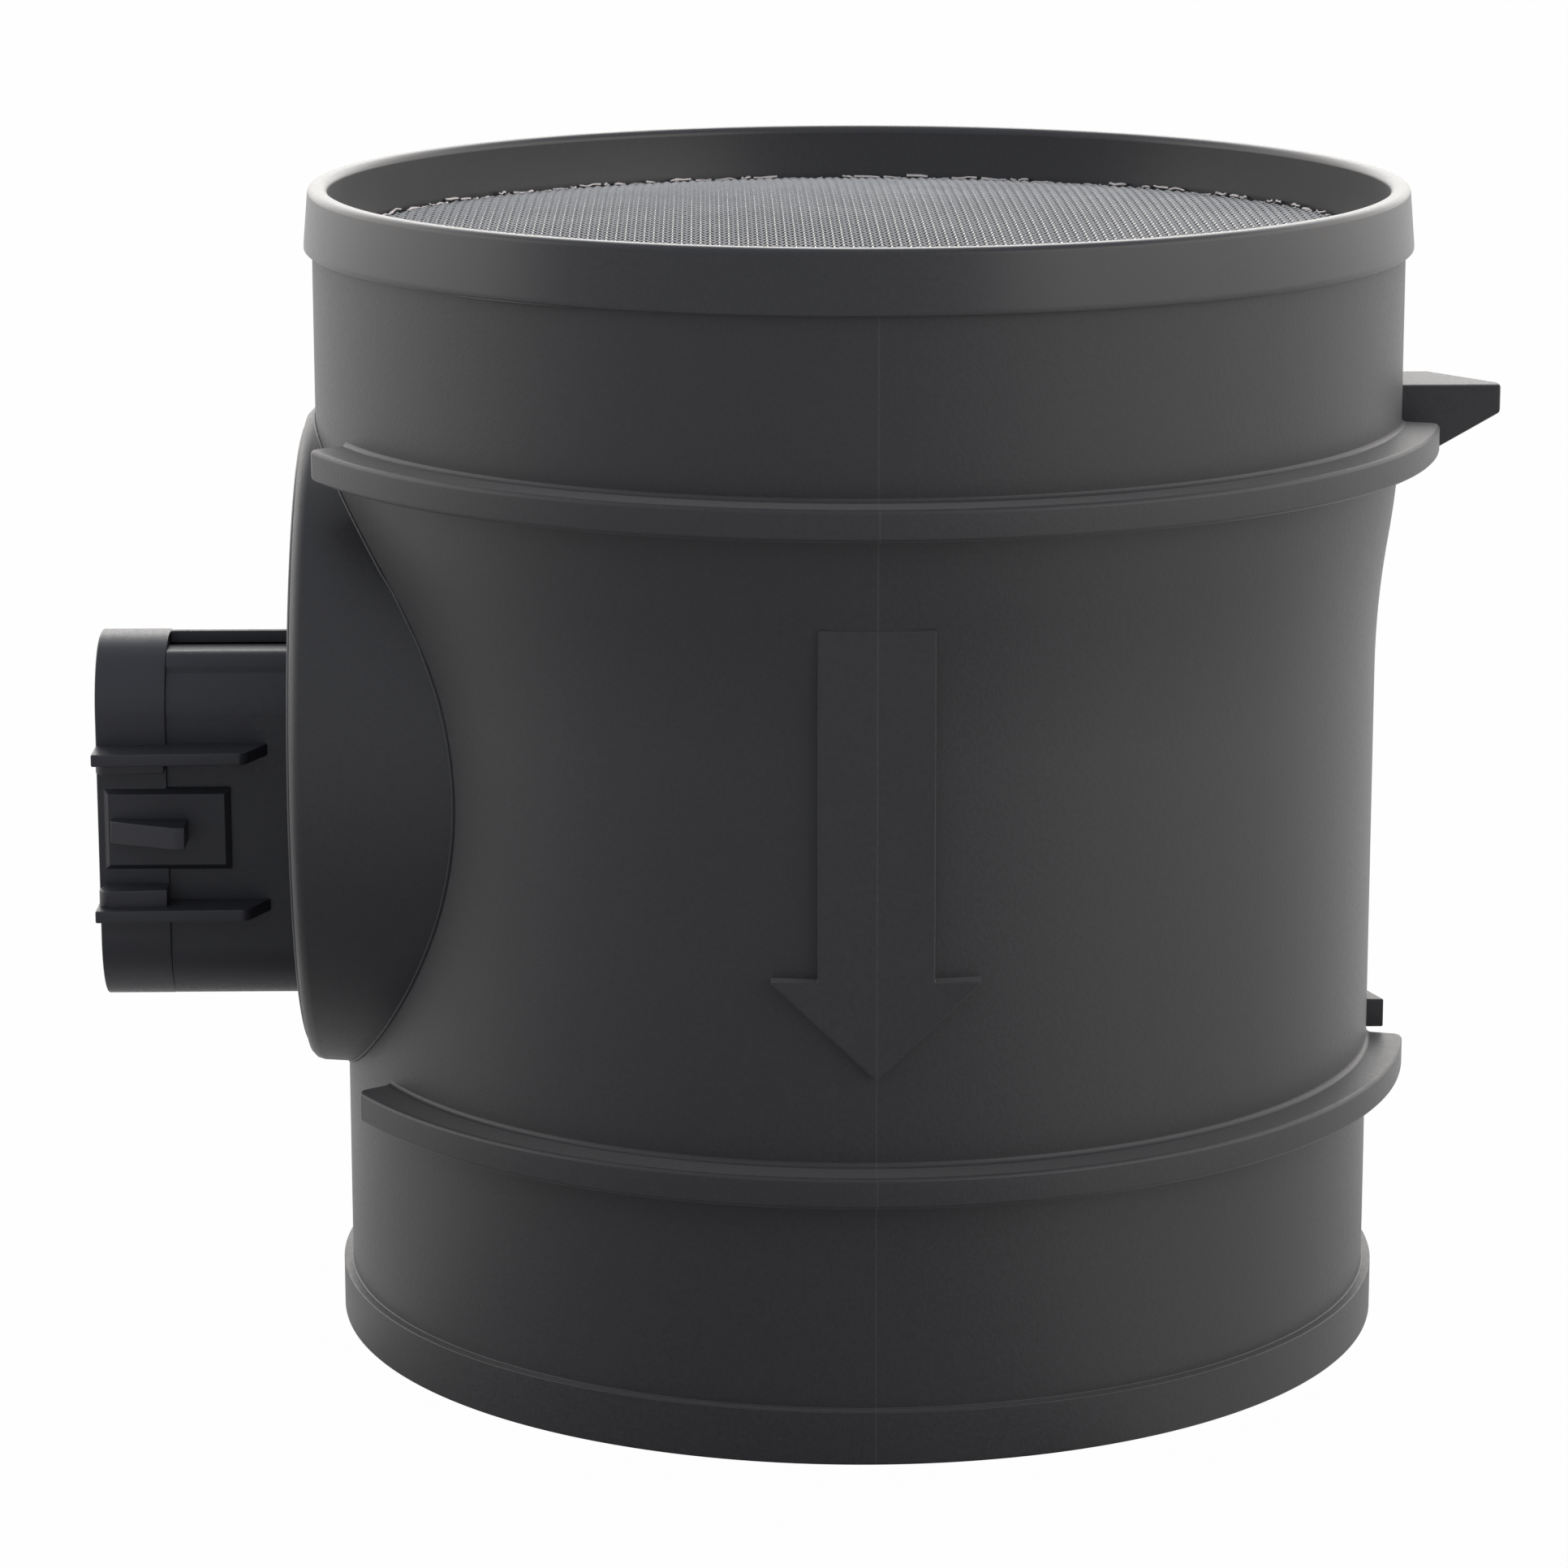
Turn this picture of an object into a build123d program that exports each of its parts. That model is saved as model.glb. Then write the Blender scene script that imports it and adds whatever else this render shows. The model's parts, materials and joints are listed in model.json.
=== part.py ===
"""Mass airflow sensor: a round flow tube with an inlet screen, a side module bay
with its connector cover, and a probe that hangs in the air stream.

Frame: millimetres, +Z along the tube axis towards the inlet, origin at the centre
of the outlet face. The flow arrow is on -Y and the connector points to -X.
"""

import os
from math import hypot, radians, sqrt, tan

from build123d import *

# Tube, heights: bands at both ends, drops measured down from the inlet rim
tube_height = 106.5
outlet_band_height = 4.9
inlet_band_drop = 5.6
inlet_band_land = 1.2
flare_drop = 19.5
flare_len = 25.0

# Tube, radii: the waist, and how far the other stretches stand out from it
outlet_r = 48.05
outlet_band_rise = 0.85
flare_rise = 1.95
inlet_band_rise = 1.15
rim_taper = 0.75
wall = 2.4
rim_wall = 1.8
rim_round = 0.75
bore_mouth_chamfer = 0.6

# Inlet screen and its seat
screen_drop = 5.5
screen_t = 0.6
screen_gap = 0.1
screen_pocket_step = 0.4
screen_pocket_lead = 1.8
screen_seat_lip = 1.3
screen_pitch = 8.0
screen_hole = 5.2
screen_ridge_w = 1.0
screen_ridge_h = 0.35
screen_rim_w = 1.6

# Locating ribs round the front, with their ends in degrees from the arrow,
# positive away from the connector
rib_t = 2.8
upper_rib_drop = 24.1
upper_rib_rise = 3.5
upper_rib_ends = (-67.3, 81.3)
lower_rib_z = 24.0
lower_rib_rise = 3.35
lower_rib_ends = (-63.6, 84.0)
rib_corner = 1.0
rib_edge = 0.4

# Flow arrow between the ribs
arrow_rise = 1.0
arrow_shaft_w = 10.0
arrow_head_w = 18.2
arrow_head_len = 8.8
arrow_low_gap = 8.0
arrow_high_gap = 8.3

# Catches on the far side
catch_w = 8.6
catch_front_y = 4.4
catch_slope = 30.0
upper_catch_drop = 18.4
upper_catch_rise = 8.9
upper_catch_nose_h = 2.6
upper_catch_nose_w = 1.4
upper_catch_nose_len = 5.6
upper_catch_bend_drop = 5.8
lower_catch_gap = 0.3
lower_catch_h = 2.7
lower_catch_w = 4.2
lower_catch_rise = 1.45

# Round module bay on the connector side, a little above midway between the ribs
bay_lift = 0.4
bay_rise = 2.95
bay_r = 30.5
bay_draft = 3.4
bay_edge = 1.2
bay_depth = 6.2
floor_t = 2.2
pad_margin = 0.8
pad_slope = 30.0
seat_depth = 2.3
bay_rim_w = 1.5
seal_rim_w = 0.6
seal_w = 1.4
seal_depth = 1.0
seal_gap = 0.05
seat_rim_w = 1.0

# Cover with its connector shroud
cover_gap = 0.1
cover_proud = 0.25
plug_drop = 7.48
plug_len = 19.25
collar_len = 6.5
collar_h = 34.4
collar_w = 14.6
collar_flat_w = 1.4
collar_step = 0.4
foot_step = 0.15
shoulder_drop = 1.0
saddle_inset = 1.45
saddle_round = 1.45
fin_t = 0.8
fin_rise = 0.1
shroud_wall = 1.8
socket_depth = 13.0

# Lock on the connector's front: guards, a block beside each, pad and wedge
guard_spacing = 14.75
guard_t = 1.15
guard_rise = 4.3
guard_back_gap = 3.45
guard_end_slope = 1.3
guard_end_round = 1.5
lower_block_h = 1.6
upper_block_h = 1.05
block_rise = 2.55
block_inset = 0.7
block_round = 0.5
pad_h = 7.7
pad_inset = 0.55
pad_len = 11.75
pad_rise = 0.45
pad_edge = 0.5
wedge_h = 2.1
wedge_inset = 1.3
wedge_len = 7.1
wedge_flat = 1.0
wedge_start_rise = 0.95
wedge_rise = 3.75

# Terminals
terminal_count = 5
terminal_pitch = 5.0
blade_w = 1.5
blade_t = 0.64
blade_tip_back = 3.5
blade_tip_bevel = 0.25
blade_root_in = 0.8
slot_gap = 0.05

# Circuit board and what it carries
board_t = 0.8
board_end_gap = 6.0
board_side_gap = 11.0
board_corner = 4.0
control_chip_size = (8.0, 8.0, 1.2)
regulator_chip_size = (6.0, 5.0, 1.1)
capacitor_size = (2.0, 1.3, 0.9)
capacitor_count = 3
resistor_size = (3.2, 1.6, 0.6)
resistor_count = 2
resistor_drop = 9.4
chip_edge = 0.2
chip_row_x = 8.5
small_part_pitch = 3.6
stake_inset = 2.5
stake_r = 1.1
stake_head_r = 1.9
stake_head_h = 0.7
stake_gap = 0.1

# Probe: flange, strut and sampling duct
flange_t = 1.0
flange_end_gap = 7.5
flange_side_gap = 12.0
flange_corner = 3.0
strut_end_gap = 7.5
strut_w = 9.0
neck_gap = 0.15
duct_r = 9.2
duct_wall = 2.0
duct_len = 26.0
duct_lip = 0.8
probe_seal_offset = 1.0
probe_seal_w = 0.9
probe_seal_h = 0.8

# Sensing elements on their pins
pin_r = 0.4
pin_hole_gap = 0.03
pin_row_y = 2.3
pin_span = 5.0
hot_pin_tip = 0.6
cold_pin_tip = 3.0
element_r = 0.5
element_len = 2.8
lead_r = 0.15
pin_tail = 0.3
thermistor_x = 27.0
thermistor_r = 1.2
thermistor_lift = 5.0
thermistor_lead_dx = 0.6
thermistor_lead_r = 0.25
thermistor_lead_in = 2.5

# Tube: radii and heights that follow from the sizes above
inlet_r = outlet_r + flare_rise
outlet_band_r = outlet_r + outlet_band_rise
inlet_band_r = inlet_r + inlet_band_rise
rim_r = inlet_band_r - rim_taper
inlet_bore_r = inlet_r - wall
outlet_bore_r = outlet_r - wall
rim_bore_r = rim_r - rim_wall
inlet_band_z = tube_height - inlet_band_drop
flare_top_z = tube_height - flare_drop
waist_top_z = flare_top_z - flare_len
screen_z = tube_height - screen_drop
screen_pocket_r = rim_bore_r - screen_pocket_step
screen_seat_r = screen_pocket_r - screen_seat_lip
screen_r = screen_pocket_r - screen_gap

# Ribs, arrow and catches
upper_rib_z = tube_height - upper_rib_drop
upper_rib_r = inlet_r + upper_rib_rise
lower_rib_r = outlet_r + lower_rib_rise
arrow_face_y = outlet_r + arrow_rise
arrow_tip_z = lower_rib_z + rib_t + arrow_low_gap
arrow_head_z = arrow_tip_z + arrow_head_len
arrow_top_z = upper_rib_z - arrow_high_gap
upper_catch_top_z = tube_height - upper_catch_drop
upper_catch_reach = inlet_r + upper_catch_rise
upper_catch_bend_x = upper_catch_reach - upper_catch_nose_len
lower_catch_z = lower_rib_z + rib_t + lower_catch_gap
lower_catch_reach = outlet_r + lower_catch_rise

# Bay: distances from the tube's axis, and radii about the bay's own axis
bay_z = (lower_rib_z + upper_rib_z + rib_t) / 2 + bay_lift
bay_face = outlet_r + bay_rise
bay_floor = bay_face - bay_depth
bay_root = sqrt(outlet_r**2 - (bay_r + bay_edge) ** 2) - wall
bay_root_r = bay_r + (bay_face - bay_root) * tan(radians(bay_draft))
cover_face = bay_face + cover_proud
cover_back = bay_face - seat_depth
cover_r = bay_r - bay_rim_w
seal_out_r = cover_r - seal_rim_w
seal_in_r = seal_out_r - seal_w
chamber_r = seal_in_r - seat_rim_w

# Connector
plug_z = bay_z - plug_drop
plug_end = cover_face + plug_len
collar_start = plug_end - collar_len
collar_corner = (collar_w - collar_flat_w) / 2
socket_floor = plug_end - socket_depth
body_w = collar_w - 2 * collar_step
body_h = collar_h - foot_step - shoulder_drop
body_rise = (foot_step - shoulder_drop) / 2
lock_root_y = (collar_w - shroud_wall) / 2
guard_reach = collar_w / 2 + guard_rise
guard_end_x = cover_face + guard_back_gap
block_reach = collar_w / 2 + block_rise
block_start = plug_end - block_inset
pad_face_y = collar_w / 2 + pad_rise
pad_middle_x = plug_end - pad_inset - pad_len / 2
wedge_start = plug_end - wedge_inset
wedge_end = wedge_start - wedge_len

# Board and probe
board_back = bay_floor + flange_t
board_face = board_back + board_t
board_h = 2 * (chamber_r - board_end_gap)
board_w = 2 * (chamber_r - board_side_gap)
flange_h = 2 * (chamber_r - flange_end_gap)
flange_w = 2 * (chamber_r - flange_side_gap)
stake_dy = flange_w / 2 - stake_inset
stake_dz = flange_h / 2 - stake_inset
tail_start = cover_back + blade_root_in
tail_end = board_back + slot_gap
tail_r = hypot(blade_t, blade_t) / 2
strut_h = flange_h - 2 * strut_end_gap
strut_top_z = bay_z + strut_h / 2
duct_bore_r = duct_r - duct_wall

# Work planes of the bay and of the connector: local x to the front, local y up,
# local z out of the tube
bay_plane = Plane(origin=(0, 0, bay_z), x_dir=(0, -1, 0), z_dir=(-1, 0, 0))
plug_plane = Plane(origin=(0, 0, plug_z), x_dir=(0, -1, 0), z_dir=(-1, 0, 0))


def finish(part, label):
    """Label a finished piece and write its own file."""
    part.label = label
    export_step(part, f"parts/{label}.step")


def flare(low_r, low_z, high_r, high_z):
    """Two tangent arcs from one cylinder up to a wider one."""
    mid = ((low_r + high_r) / 2, (low_z + high_z) / 2)
    lower = TangentArc((low_r, low_z), mid, tangent=(0, 1))
    upper = TangentArc((high_r, high_z), mid, tangent=(0, -1))
    return lower, upper


def rib(low_z, outer_r, ends):
    """A locating rib: a ring sector with rounded corners and edges."""
    start, stop = (angle - 90 for angle in ends)
    inner_r = outlet_r - wall / 2

    def is_outer(point):
        return hypot(point.X, point.Y) > outlet_r

    with BuildPart() as ring:
        with BuildSketch(Plane.XY.offset(low_z)) as plan:
            with BuildLine():
                outer = CenterArc((0, 0), outer_r, start, stop - start)
                inner = CenterArc((0, 0), inner_r, start, stop - start)
                Line(outer @ 0, inner @ 0)
                Line(outer @ 1, inner @ 1)
            make_face()
            fillet(plan.vertices().filter_by(is_outer), rib_corner)
        extrude(amount=rib_t)
        level_edges = ring.edges().filter_by(Axis.Z, reverse=True)
        fillet(level_edges.filter_by(lambda edge: is_outer(edge @ 0.5)), rib_edge)
    return ring.part


def terminal_heights():
    """Heights of the terminals, in a row centred on the connector."""
    first = -(terminal_count - 1) / 2
    return [plug_z + (first + i) * terminal_pitch for i in range(terminal_count)]


def stake_spots():
    """Places of the heat stakes on the bay plane."""
    return GridLocations(2 * stake_dy, 2 * stake_dz, 2, 2)


def pin_spots():
    """Places of the probe pins on the bay plane."""
    return GridLocations(2 * pin_row_y, pin_span, 2, 2)


def thermistor_spots():
    """Places of the bead's two leads, seen from above."""
    return Locations(
        (-thermistor_x - thermistor_lead_dx, 0),
        (-thermistor_x + thermistor_lead_dx, 0),
    )


def strut_outline(margin):
    """Section of the probe strut, grown by a margin."""
    with BuildSketch() as section:
        SlotOverall(strut_h + 2 * margin, strut_w + 2 * margin, rotation=90)
    return section.sketch


def ridge_rows():
    """Rows of the screen's ridges, between the gaps."""
    half_count = int((screen_r - screen_rim_w) / screen_pitch)
    return [row * screen_pitch for row in range(-half_count, half_count + 1)]


def screen_gaps():
    """Centres of the square gaps that lie wholly inside the screen's rim."""
    rows = [row + screen_pitch / 2 for row in ridge_rows()]
    limit = screen_seat_r - screen_rim_w
    half = screen_hole / 2
    return [
        (x, y)
        for x in rows
        for y in rows
        if hypot(abs(x) + half, abs(y) + half) < limit
    ]


def board_parts():
    """Label, size and place on the bay plane of each part on the board."""
    parts = [
        ("control_chip", control_chip_size, (chip_row_x, 0)),
        ("regulator_chip", regulator_chip_size, (-chip_row_x, -small_part_pitch)),
    ]
    for i in range(capacitor_count):
        spot = (-chip_row_x, (i + 1) * small_part_pitch)
        parts.append((f"filter_capacitor_{i + 1}", capacitor_size, spot))
    for i in range(resistor_count):
        spot = (chip_row_x - i * small_part_pitch, -resistor_drop)
        parts.append((f"bridge_resistor_{i + 1}", resistor_size, spot))
    return parts


os.makedirs("parts", exist_ok=True)

# Air path: the bore, less the flat pad that closes the module bay
with BuildPart() as air_path:
    pocket_top = screen_z + screen_t + screen_ridge_h
    with BuildSketch(Plane.XZ):
        with BuildLine():
            Polyline(
                (0, 0),
                (outlet_bore_r + bore_mouth_chamfer, 0),
                (outlet_bore_r, bore_mouth_chamfer),
                (outlet_bore_r, waist_top_z),
            )
            flare(outlet_bore_r, waist_top_z, inlet_bore_r, flare_top_z)
            Polyline(
                (inlet_bore_r, flare_top_z),
                (inlet_bore_r, screen_z - screen_seat_lip),
                (screen_seat_r, screen_z),
                (screen_pocket_r, screen_z),
                (screen_pocket_r, pocket_top),
                (rim_bore_r, pocket_top + screen_pocket_lead),
                (rim_bore_r, tube_height - rim_round),
            )
            TangentArc(
                (rim_bore_r, tube_height - rim_round),
                (rim_bore_r + rim_round, tube_height),
                tangent=(0, 1),
            )
            Polyline((rim_bore_r + rim_round, tube_height), (0, tube_height), (0, 0))
        make_face()
    revolve(axis=Axis.Z)
    with BuildSketch(bay_plane.offset(bay_floor - floor_t)):
        Circle(chamber_r + pad_margin)
    extrude(amount=bay_face - bay_floor, taper=-pad_slope, mode=Mode.SUBTRACT)

# Upper catch: a hook-shaped block, square in front and sloped behind and below
with BuildPart() as upper_catch:
    root_x = outlet_r - wall / 2
    slope = tan(radians(catch_slope))
    root_drop = upper_catch_bend_drop + (upper_catch_bend_x - root_x) * slope
    with BuildSketch(Plane.XZ.offset(catch_front_y)):
        with BuildLine():
            Polyline(
                (root_x, upper_catch_top_z),
                (upper_catch_reach, upper_catch_top_z),
                (upper_catch_reach, upper_catch_top_z - upper_catch_nose_h),
                (upper_catch_bend_x, upper_catch_top_z - upper_catch_bend_drop),
                (root_x, upper_catch_top_z - root_drop),
                close=True,
            )
        make_face()
    extrude(amount=-catch_w)
    with BuildSketch(Plane.XY.offset(upper_catch_top_z)):
        with BuildLine():
            Polyline(
                (root_x, -catch_front_y),
                (upper_catch_reach, -catch_front_y),
                (upper_catch_reach, upper_catch_nose_w - catch_front_y),
                (upper_catch_bend_x, catch_w - catch_front_y),
                (root_x, catch_w - catch_front_y),
                close=True,
            )
        make_face()
    extrude(amount=-root_drop, mode=Mode.INTERSECT)

# Lower catch: a low stop beside the lower rib
with BuildPart() as lower_catch:
    with BuildSketch(Plane.XY.offset(lower_catch_z)):
        with BuildLine():
            Polyline(
                (outlet_r - wall / 2, -catch_front_y),
                (lower_catch_reach, -catch_front_y),
                (outlet_r, lower_catch_w - catch_front_y),
                (outlet_r - wall / 2, lower_catch_w - catch_front_y),
                close=True,
            )
        make_face()
    extrude(amount=lower_catch_h)

# Flow tube: one moulding with its bands, ribs, arrow, catches and module bay
with BuildPart() as flow_tube:
    with BuildSketch(Plane.XZ):
        with BuildLine():
            Polyline(
                (0, 0),
                (outlet_band_r, 0),
                (outlet_band_r, outlet_band_height),
                (outlet_r, outlet_band_height),
                (outlet_r, waist_top_z),
            )
            flare(outlet_r, waist_top_z, inlet_r, flare_top_z)
            Polyline(
                (inlet_r, flare_top_z),
                (inlet_r, inlet_band_z),
                (inlet_band_r, inlet_band_z),
                (inlet_band_r, inlet_band_z + inlet_band_land),
                (rim_r, tube_height),
                (0, tube_height),
                (0, 0),
            )
        make_face()
    revolve(axis=Axis.Z)

    # Round bay: drafted side and rounded outer edge, turned about its own axis
    with BuildSketch(Plane.XZ) as bay_section:
        with BuildLine():
            Polyline(
                (-bay_root, bay_z),
                (-bay_root, bay_z + bay_root_r),
                (-bay_face, bay_z + bay_r),
                (-bay_face, bay_z),
                close=True,
            )
        make_face()
        fillet(bay_section.vertices().sort_by(Axis.X)[:2].sort_by(Axis.Y)[-1], bay_edge)
    revolve(axis=Axis((0, 0, bay_z), (1, 0, 0)))

    # Locating ribs, and the flow arrow that points from the inlet to the outlet
    add(rib(upper_rib_z, upper_rib_r, upper_rib_ends))
    add(rib(lower_rib_z, lower_rib_r, lower_rib_ends))
    with BuildSketch(Plane.XZ.offset(arrow_face_y)):
        with BuildLine():
            Polyline(
                (arrow_shaft_w / 2, arrow_top_z),
                (arrow_shaft_w / 2, arrow_head_z),
                (arrow_head_w / 2, arrow_head_z),
                (0, arrow_tip_z),
                (-arrow_head_w / 2, arrow_head_z),
                (-arrow_shaft_w / 2, arrow_head_z),
                (-arrow_shaft_w / 2, arrow_top_z),
                close=True,
            )
        make_face()
    extrude(amount=-wall)
    add(upper_catch.part)
    add(lower_catch.part)

    # Bore, then the module bay with its cover seat, seal groove and probe slot
    add(air_path.part, mode=Mode.SUBTRACT)
    with BuildSketch(bay_plane.offset(cover_back)):
        Circle(cover_r + cover_gap)
    extrude(amount=seat_depth, mode=Mode.SUBTRACT)
    with BuildSketch(bay_plane.offset(bay_floor)):
        Circle(chamber_r)
    extrude(amount=cover_back - bay_floor, mode=Mode.SUBTRACT)
    with BuildSketch(bay_plane.offset(cover_back - seal_depth)):
        Circle(seal_out_r + seal_gap)
        Circle(seal_in_r - seal_gap, mode=Mode.SUBTRACT)
    extrude(amount=seal_depth, mode=Mode.SUBTRACT)
    with BuildSketch(bay_plane.offset(bay_floor - floor_t)):
        add(strut_outline(neck_gap))
    extrude(amount=floor_t, mode=Mode.SUBTRACT)
    with BuildSketch(bay_plane.offset(bay_floor - probe_seal_h)):
        add(strut_outline(probe_seal_offset + probe_seal_w + seal_gap))
        add(strut_outline(probe_seal_offset - seal_gap), mode=Mode.SUBTRACT)
    extrude(amount=probe_seal_h, mode=Mode.SUBTRACT)

    # Heat stakes that hold the probe flange and the board
    with BuildSketch(bay_plane.offset(bay_floor)):
        with stake_spots():
            Circle(stake_r)
    extrude(amount=board_face - bay_floor)
    with BuildSketch(bay_plane.offset(board_face)):
        with stake_spots():
            Circle(stake_head_r)
    extrude(amount=stake_head_h)

finish(flow_tube.part, "flow_tube")

# Inlet screen: a thin disc with crossed ridges and a field of square gaps
with BuildPart() as inlet_screen:
    with BuildSketch(Plane.XY.offset(screen_z)):
        Circle(screen_r)
        with Locations(*screen_gaps()):
            Rectangle(screen_hole, screen_hole, mode=Mode.SUBTRACT)
    extrude(amount=screen_t)
    for offset, turn, rise in (
        (screen_z + screen_t, 0, screen_ridge_h),
        (screen_z, 90, -screen_ridge_h),
    ):
        with BuildSketch(Plane.XY.offset(offset)):
            for row in ridge_rows():
                reach = sqrt(screen_seat_r**2 - row**2) - screen_rim_w
                with Locations(Location((0, 0, 0), (0, 0, turn))):
                    with Locations((0, row)):
                        Rectangle(2 * reach, screen_ridge_w)
        extrude(amount=rise)

finish(inlet_screen.part, "inlet_screen")

# Lock pad: a low plate with bevelled edges that carries the lock wedge
with BuildPart() as lock_pad:
    with BuildSketch(Plane.XZ.offset(lock_root_y)):
        with Locations((-pad_middle_x, plug_z)):
            Rectangle(pad_len, pad_h)
    extrude(amount=pad_face_y - lock_root_y)
    chamfer(lock_pad.faces().sort_by(Axis.Y)[0].edges(), pad_edge)

# Module cover: the round lid and the connector shroud, one moulding
with BuildPart() as module_cover:
    with BuildSketch(bay_plane.offset(cover_back)):
        Circle(cover_r)
    extrude(amount=cover_face - cover_back)

    # Connector: the body with its squared top and a fin along it, then the collar
    with BuildSketch(plug_plane.offset(cover_face)):
        with Locations((0, body_rise)):
            RectangleRounded(body_w, body_h, collar_corner - shoulder_drop)
        with Locations((0, (collar_h - collar_corner) / 2 - shoulder_drop)):
            RectangleRounded(body_w - 2 * saddle_inset, collar_corner, saddle_round)
        with Locations((0, (collar_h - collar_corner) / 2 + fin_rise)):
            Rectangle(fin_t, collar_corner)
    extrude(amount=collar_start - cover_face)
    with BuildSketch(plug_plane.offset(collar_start)):
        RectangleRounded(collar_w, collar_h, collar_corner)
    extrude(amount=collar_len)

    # Guards above and below the lock, rounded off towards the bay, with a lower
    # block on the inner side of each
    for side, block_h in ((-1, lower_block_h), (1, upper_block_h)):
        inner_plane = Plane.XY.offset(plug_z + side * (guard_spacing - guard_t) / 2)
        with BuildSketch(inner_plane) as guard_plan:
            with BuildLine():
                Polyline(
                    (-plug_end, -lock_root_y),
                    (-plug_end, -guard_reach),
                    (-guard_end_x - guard_end_slope, -guard_reach),
                    (-guard_end_x, -body_w / 2),
                    (-guard_end_x, -lock_root_y),
                    close=True,
                )
            make_face()
            outer = guard_plan.vertices().sort_by(Axis.Y)[:2]
            fillet(outer.sort_by(Axis.X)[-1], guard_end_round)
        extrude(amount=side * guard_t)
        with BuildSketch(inner_plane) as block_plan:
            with BuildLine():
                Polyline(
                    (-block_start, -lock_root_y),
                    (-block_start, -block_reach),
                    (-collar_start, -block_reach),
                    (-collar_start, -lock_root_y),
                    close=True,
                )
            make_face()
            outer = block_plan.vertices().sort_by(Axis.Y)[:2]
            fillet(outer.sort_by(Axis.X)[0], block_round)
        extrude(amount=-side * block_h)

    # Lock wedge: rises from the mouth and drops off square towards the bay
    add(lock_pad.part)
    with BuildSketch(Plane.XY.offset(plug_z - wedge_h / 2)):
        with BuildLine():
            Polyline(
                (-wedge_start, -lock_root_y),
                (-wedge_start, -pad_face_y - wedge_start_rise),
                (-wedge_end - wedge_flat, -pad_face_y - wedge_rise),
                (-wedge_end, -pad_face_y - wedge_rise),
                (-wedge_end, -lock_root_y),
                close=True,
            )
        make_face()
    extrude(amount=wedge_h)

    # Socket and the slots that hold the terminals
    with BuildSketch(plug_plane.offset(socket_floor)):
        RectangleRounded(
            collar_w - 2 * shroud_wall,
            collar_h - 2 * shroud_wall,
            collar_corner - shroud_wall,
        )
    extrude(amount=socket_depth, mode=Mode.SUBTRACT)
    with BuildSketch(plug_plane.offset(cover_back)):
        with GridLocations(0, terminal_pitch, 1, terminal_count):
            Rectangle(blade_t + 2 * slot_gap, blade_w + 2 * slot_gap)
    extrude(amount=socket_floor - cover_back, mode=Mode.SUBTRACT)

finish(module_cover.part, "module_cover")

# Cover seal: a square ring in its groove under the lid
with BuildPart() as cover_seal:
    with BuildSketch(bay_plane.offset(cover_back - seal_depth)):
        Circle(seal_out_r)
        Circle(seal_in_r, mode=Mode.SUBTRACT)
    extrude(amount=seal_depth)

finish(cover_seal.part, "cover_seal")

# Terminals: a flat blade with a bevelled tip and a square tail for the board
for number, height in enumerate(terminal_heights(), start=1):
    pin_plane = Plane(origin=(0, 0, height), x_dir=(0, -1, 0), z_dir=(-1, 0, 0))
    with BuildPart() as terminal:
        with BuildSketch(pin_plane.offset(tail_start)):
            Rectangle(blade_t, blade_w)
        extrude(amount=plug_end - blade_tip_back - tail_start)
        tip = terminal.faces().sort_by(Axis.X)[0]
        chamfer(tip.edges(), blade_tip_bevel)
        with BuildSketch(pin_plane.offset(tail_end)):
            Rectangle(blade_t, blade_t)
        extrude(amount=tail_start - tail_end)
    finish(terminal.part, f"terminal_{number}")

# Circuit board, with holes for the stakes, the terminals and the probe pins
with BuildPart() as circuit_board:
    with BuildSketch(bay_plane.offset(board_back)):
        RectangleRounded(board_w, board_h, board_corner)
        with stake_spots():
            Circle(stake_r + stake_gap, mode=Mode.SUBTRACT)
        with Locations((0, plug_z - bay_z)):
            with GridLocations(0, terminal_pitch, 1, terminal_count):
                Circle(tail_r + slot_gap, mode=Mode.SUBTRACT)
        with pin_spots():
            Circle(pin_r + pin_hole_gap, mode=Mode.SUBTRACT)
    extrude(amount=board_t)

finish(circuit_board.part, "circuit_board")

# Parts soldered on the board
for label, size, spot in board_parts():
    long_side, short_side, rise = size
    with BuildPart() as chip:
        with BuildSketch(bay_plane.offset(board_face)):
            with Locations(spot):
                Rectangle(short_side, long_side)
        extrude(amount=rise)
        chamfer(chip.faces().sort_by(Axis.X)[0].edges(), chip_edge)
    finish(chip.part, label)

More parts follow.
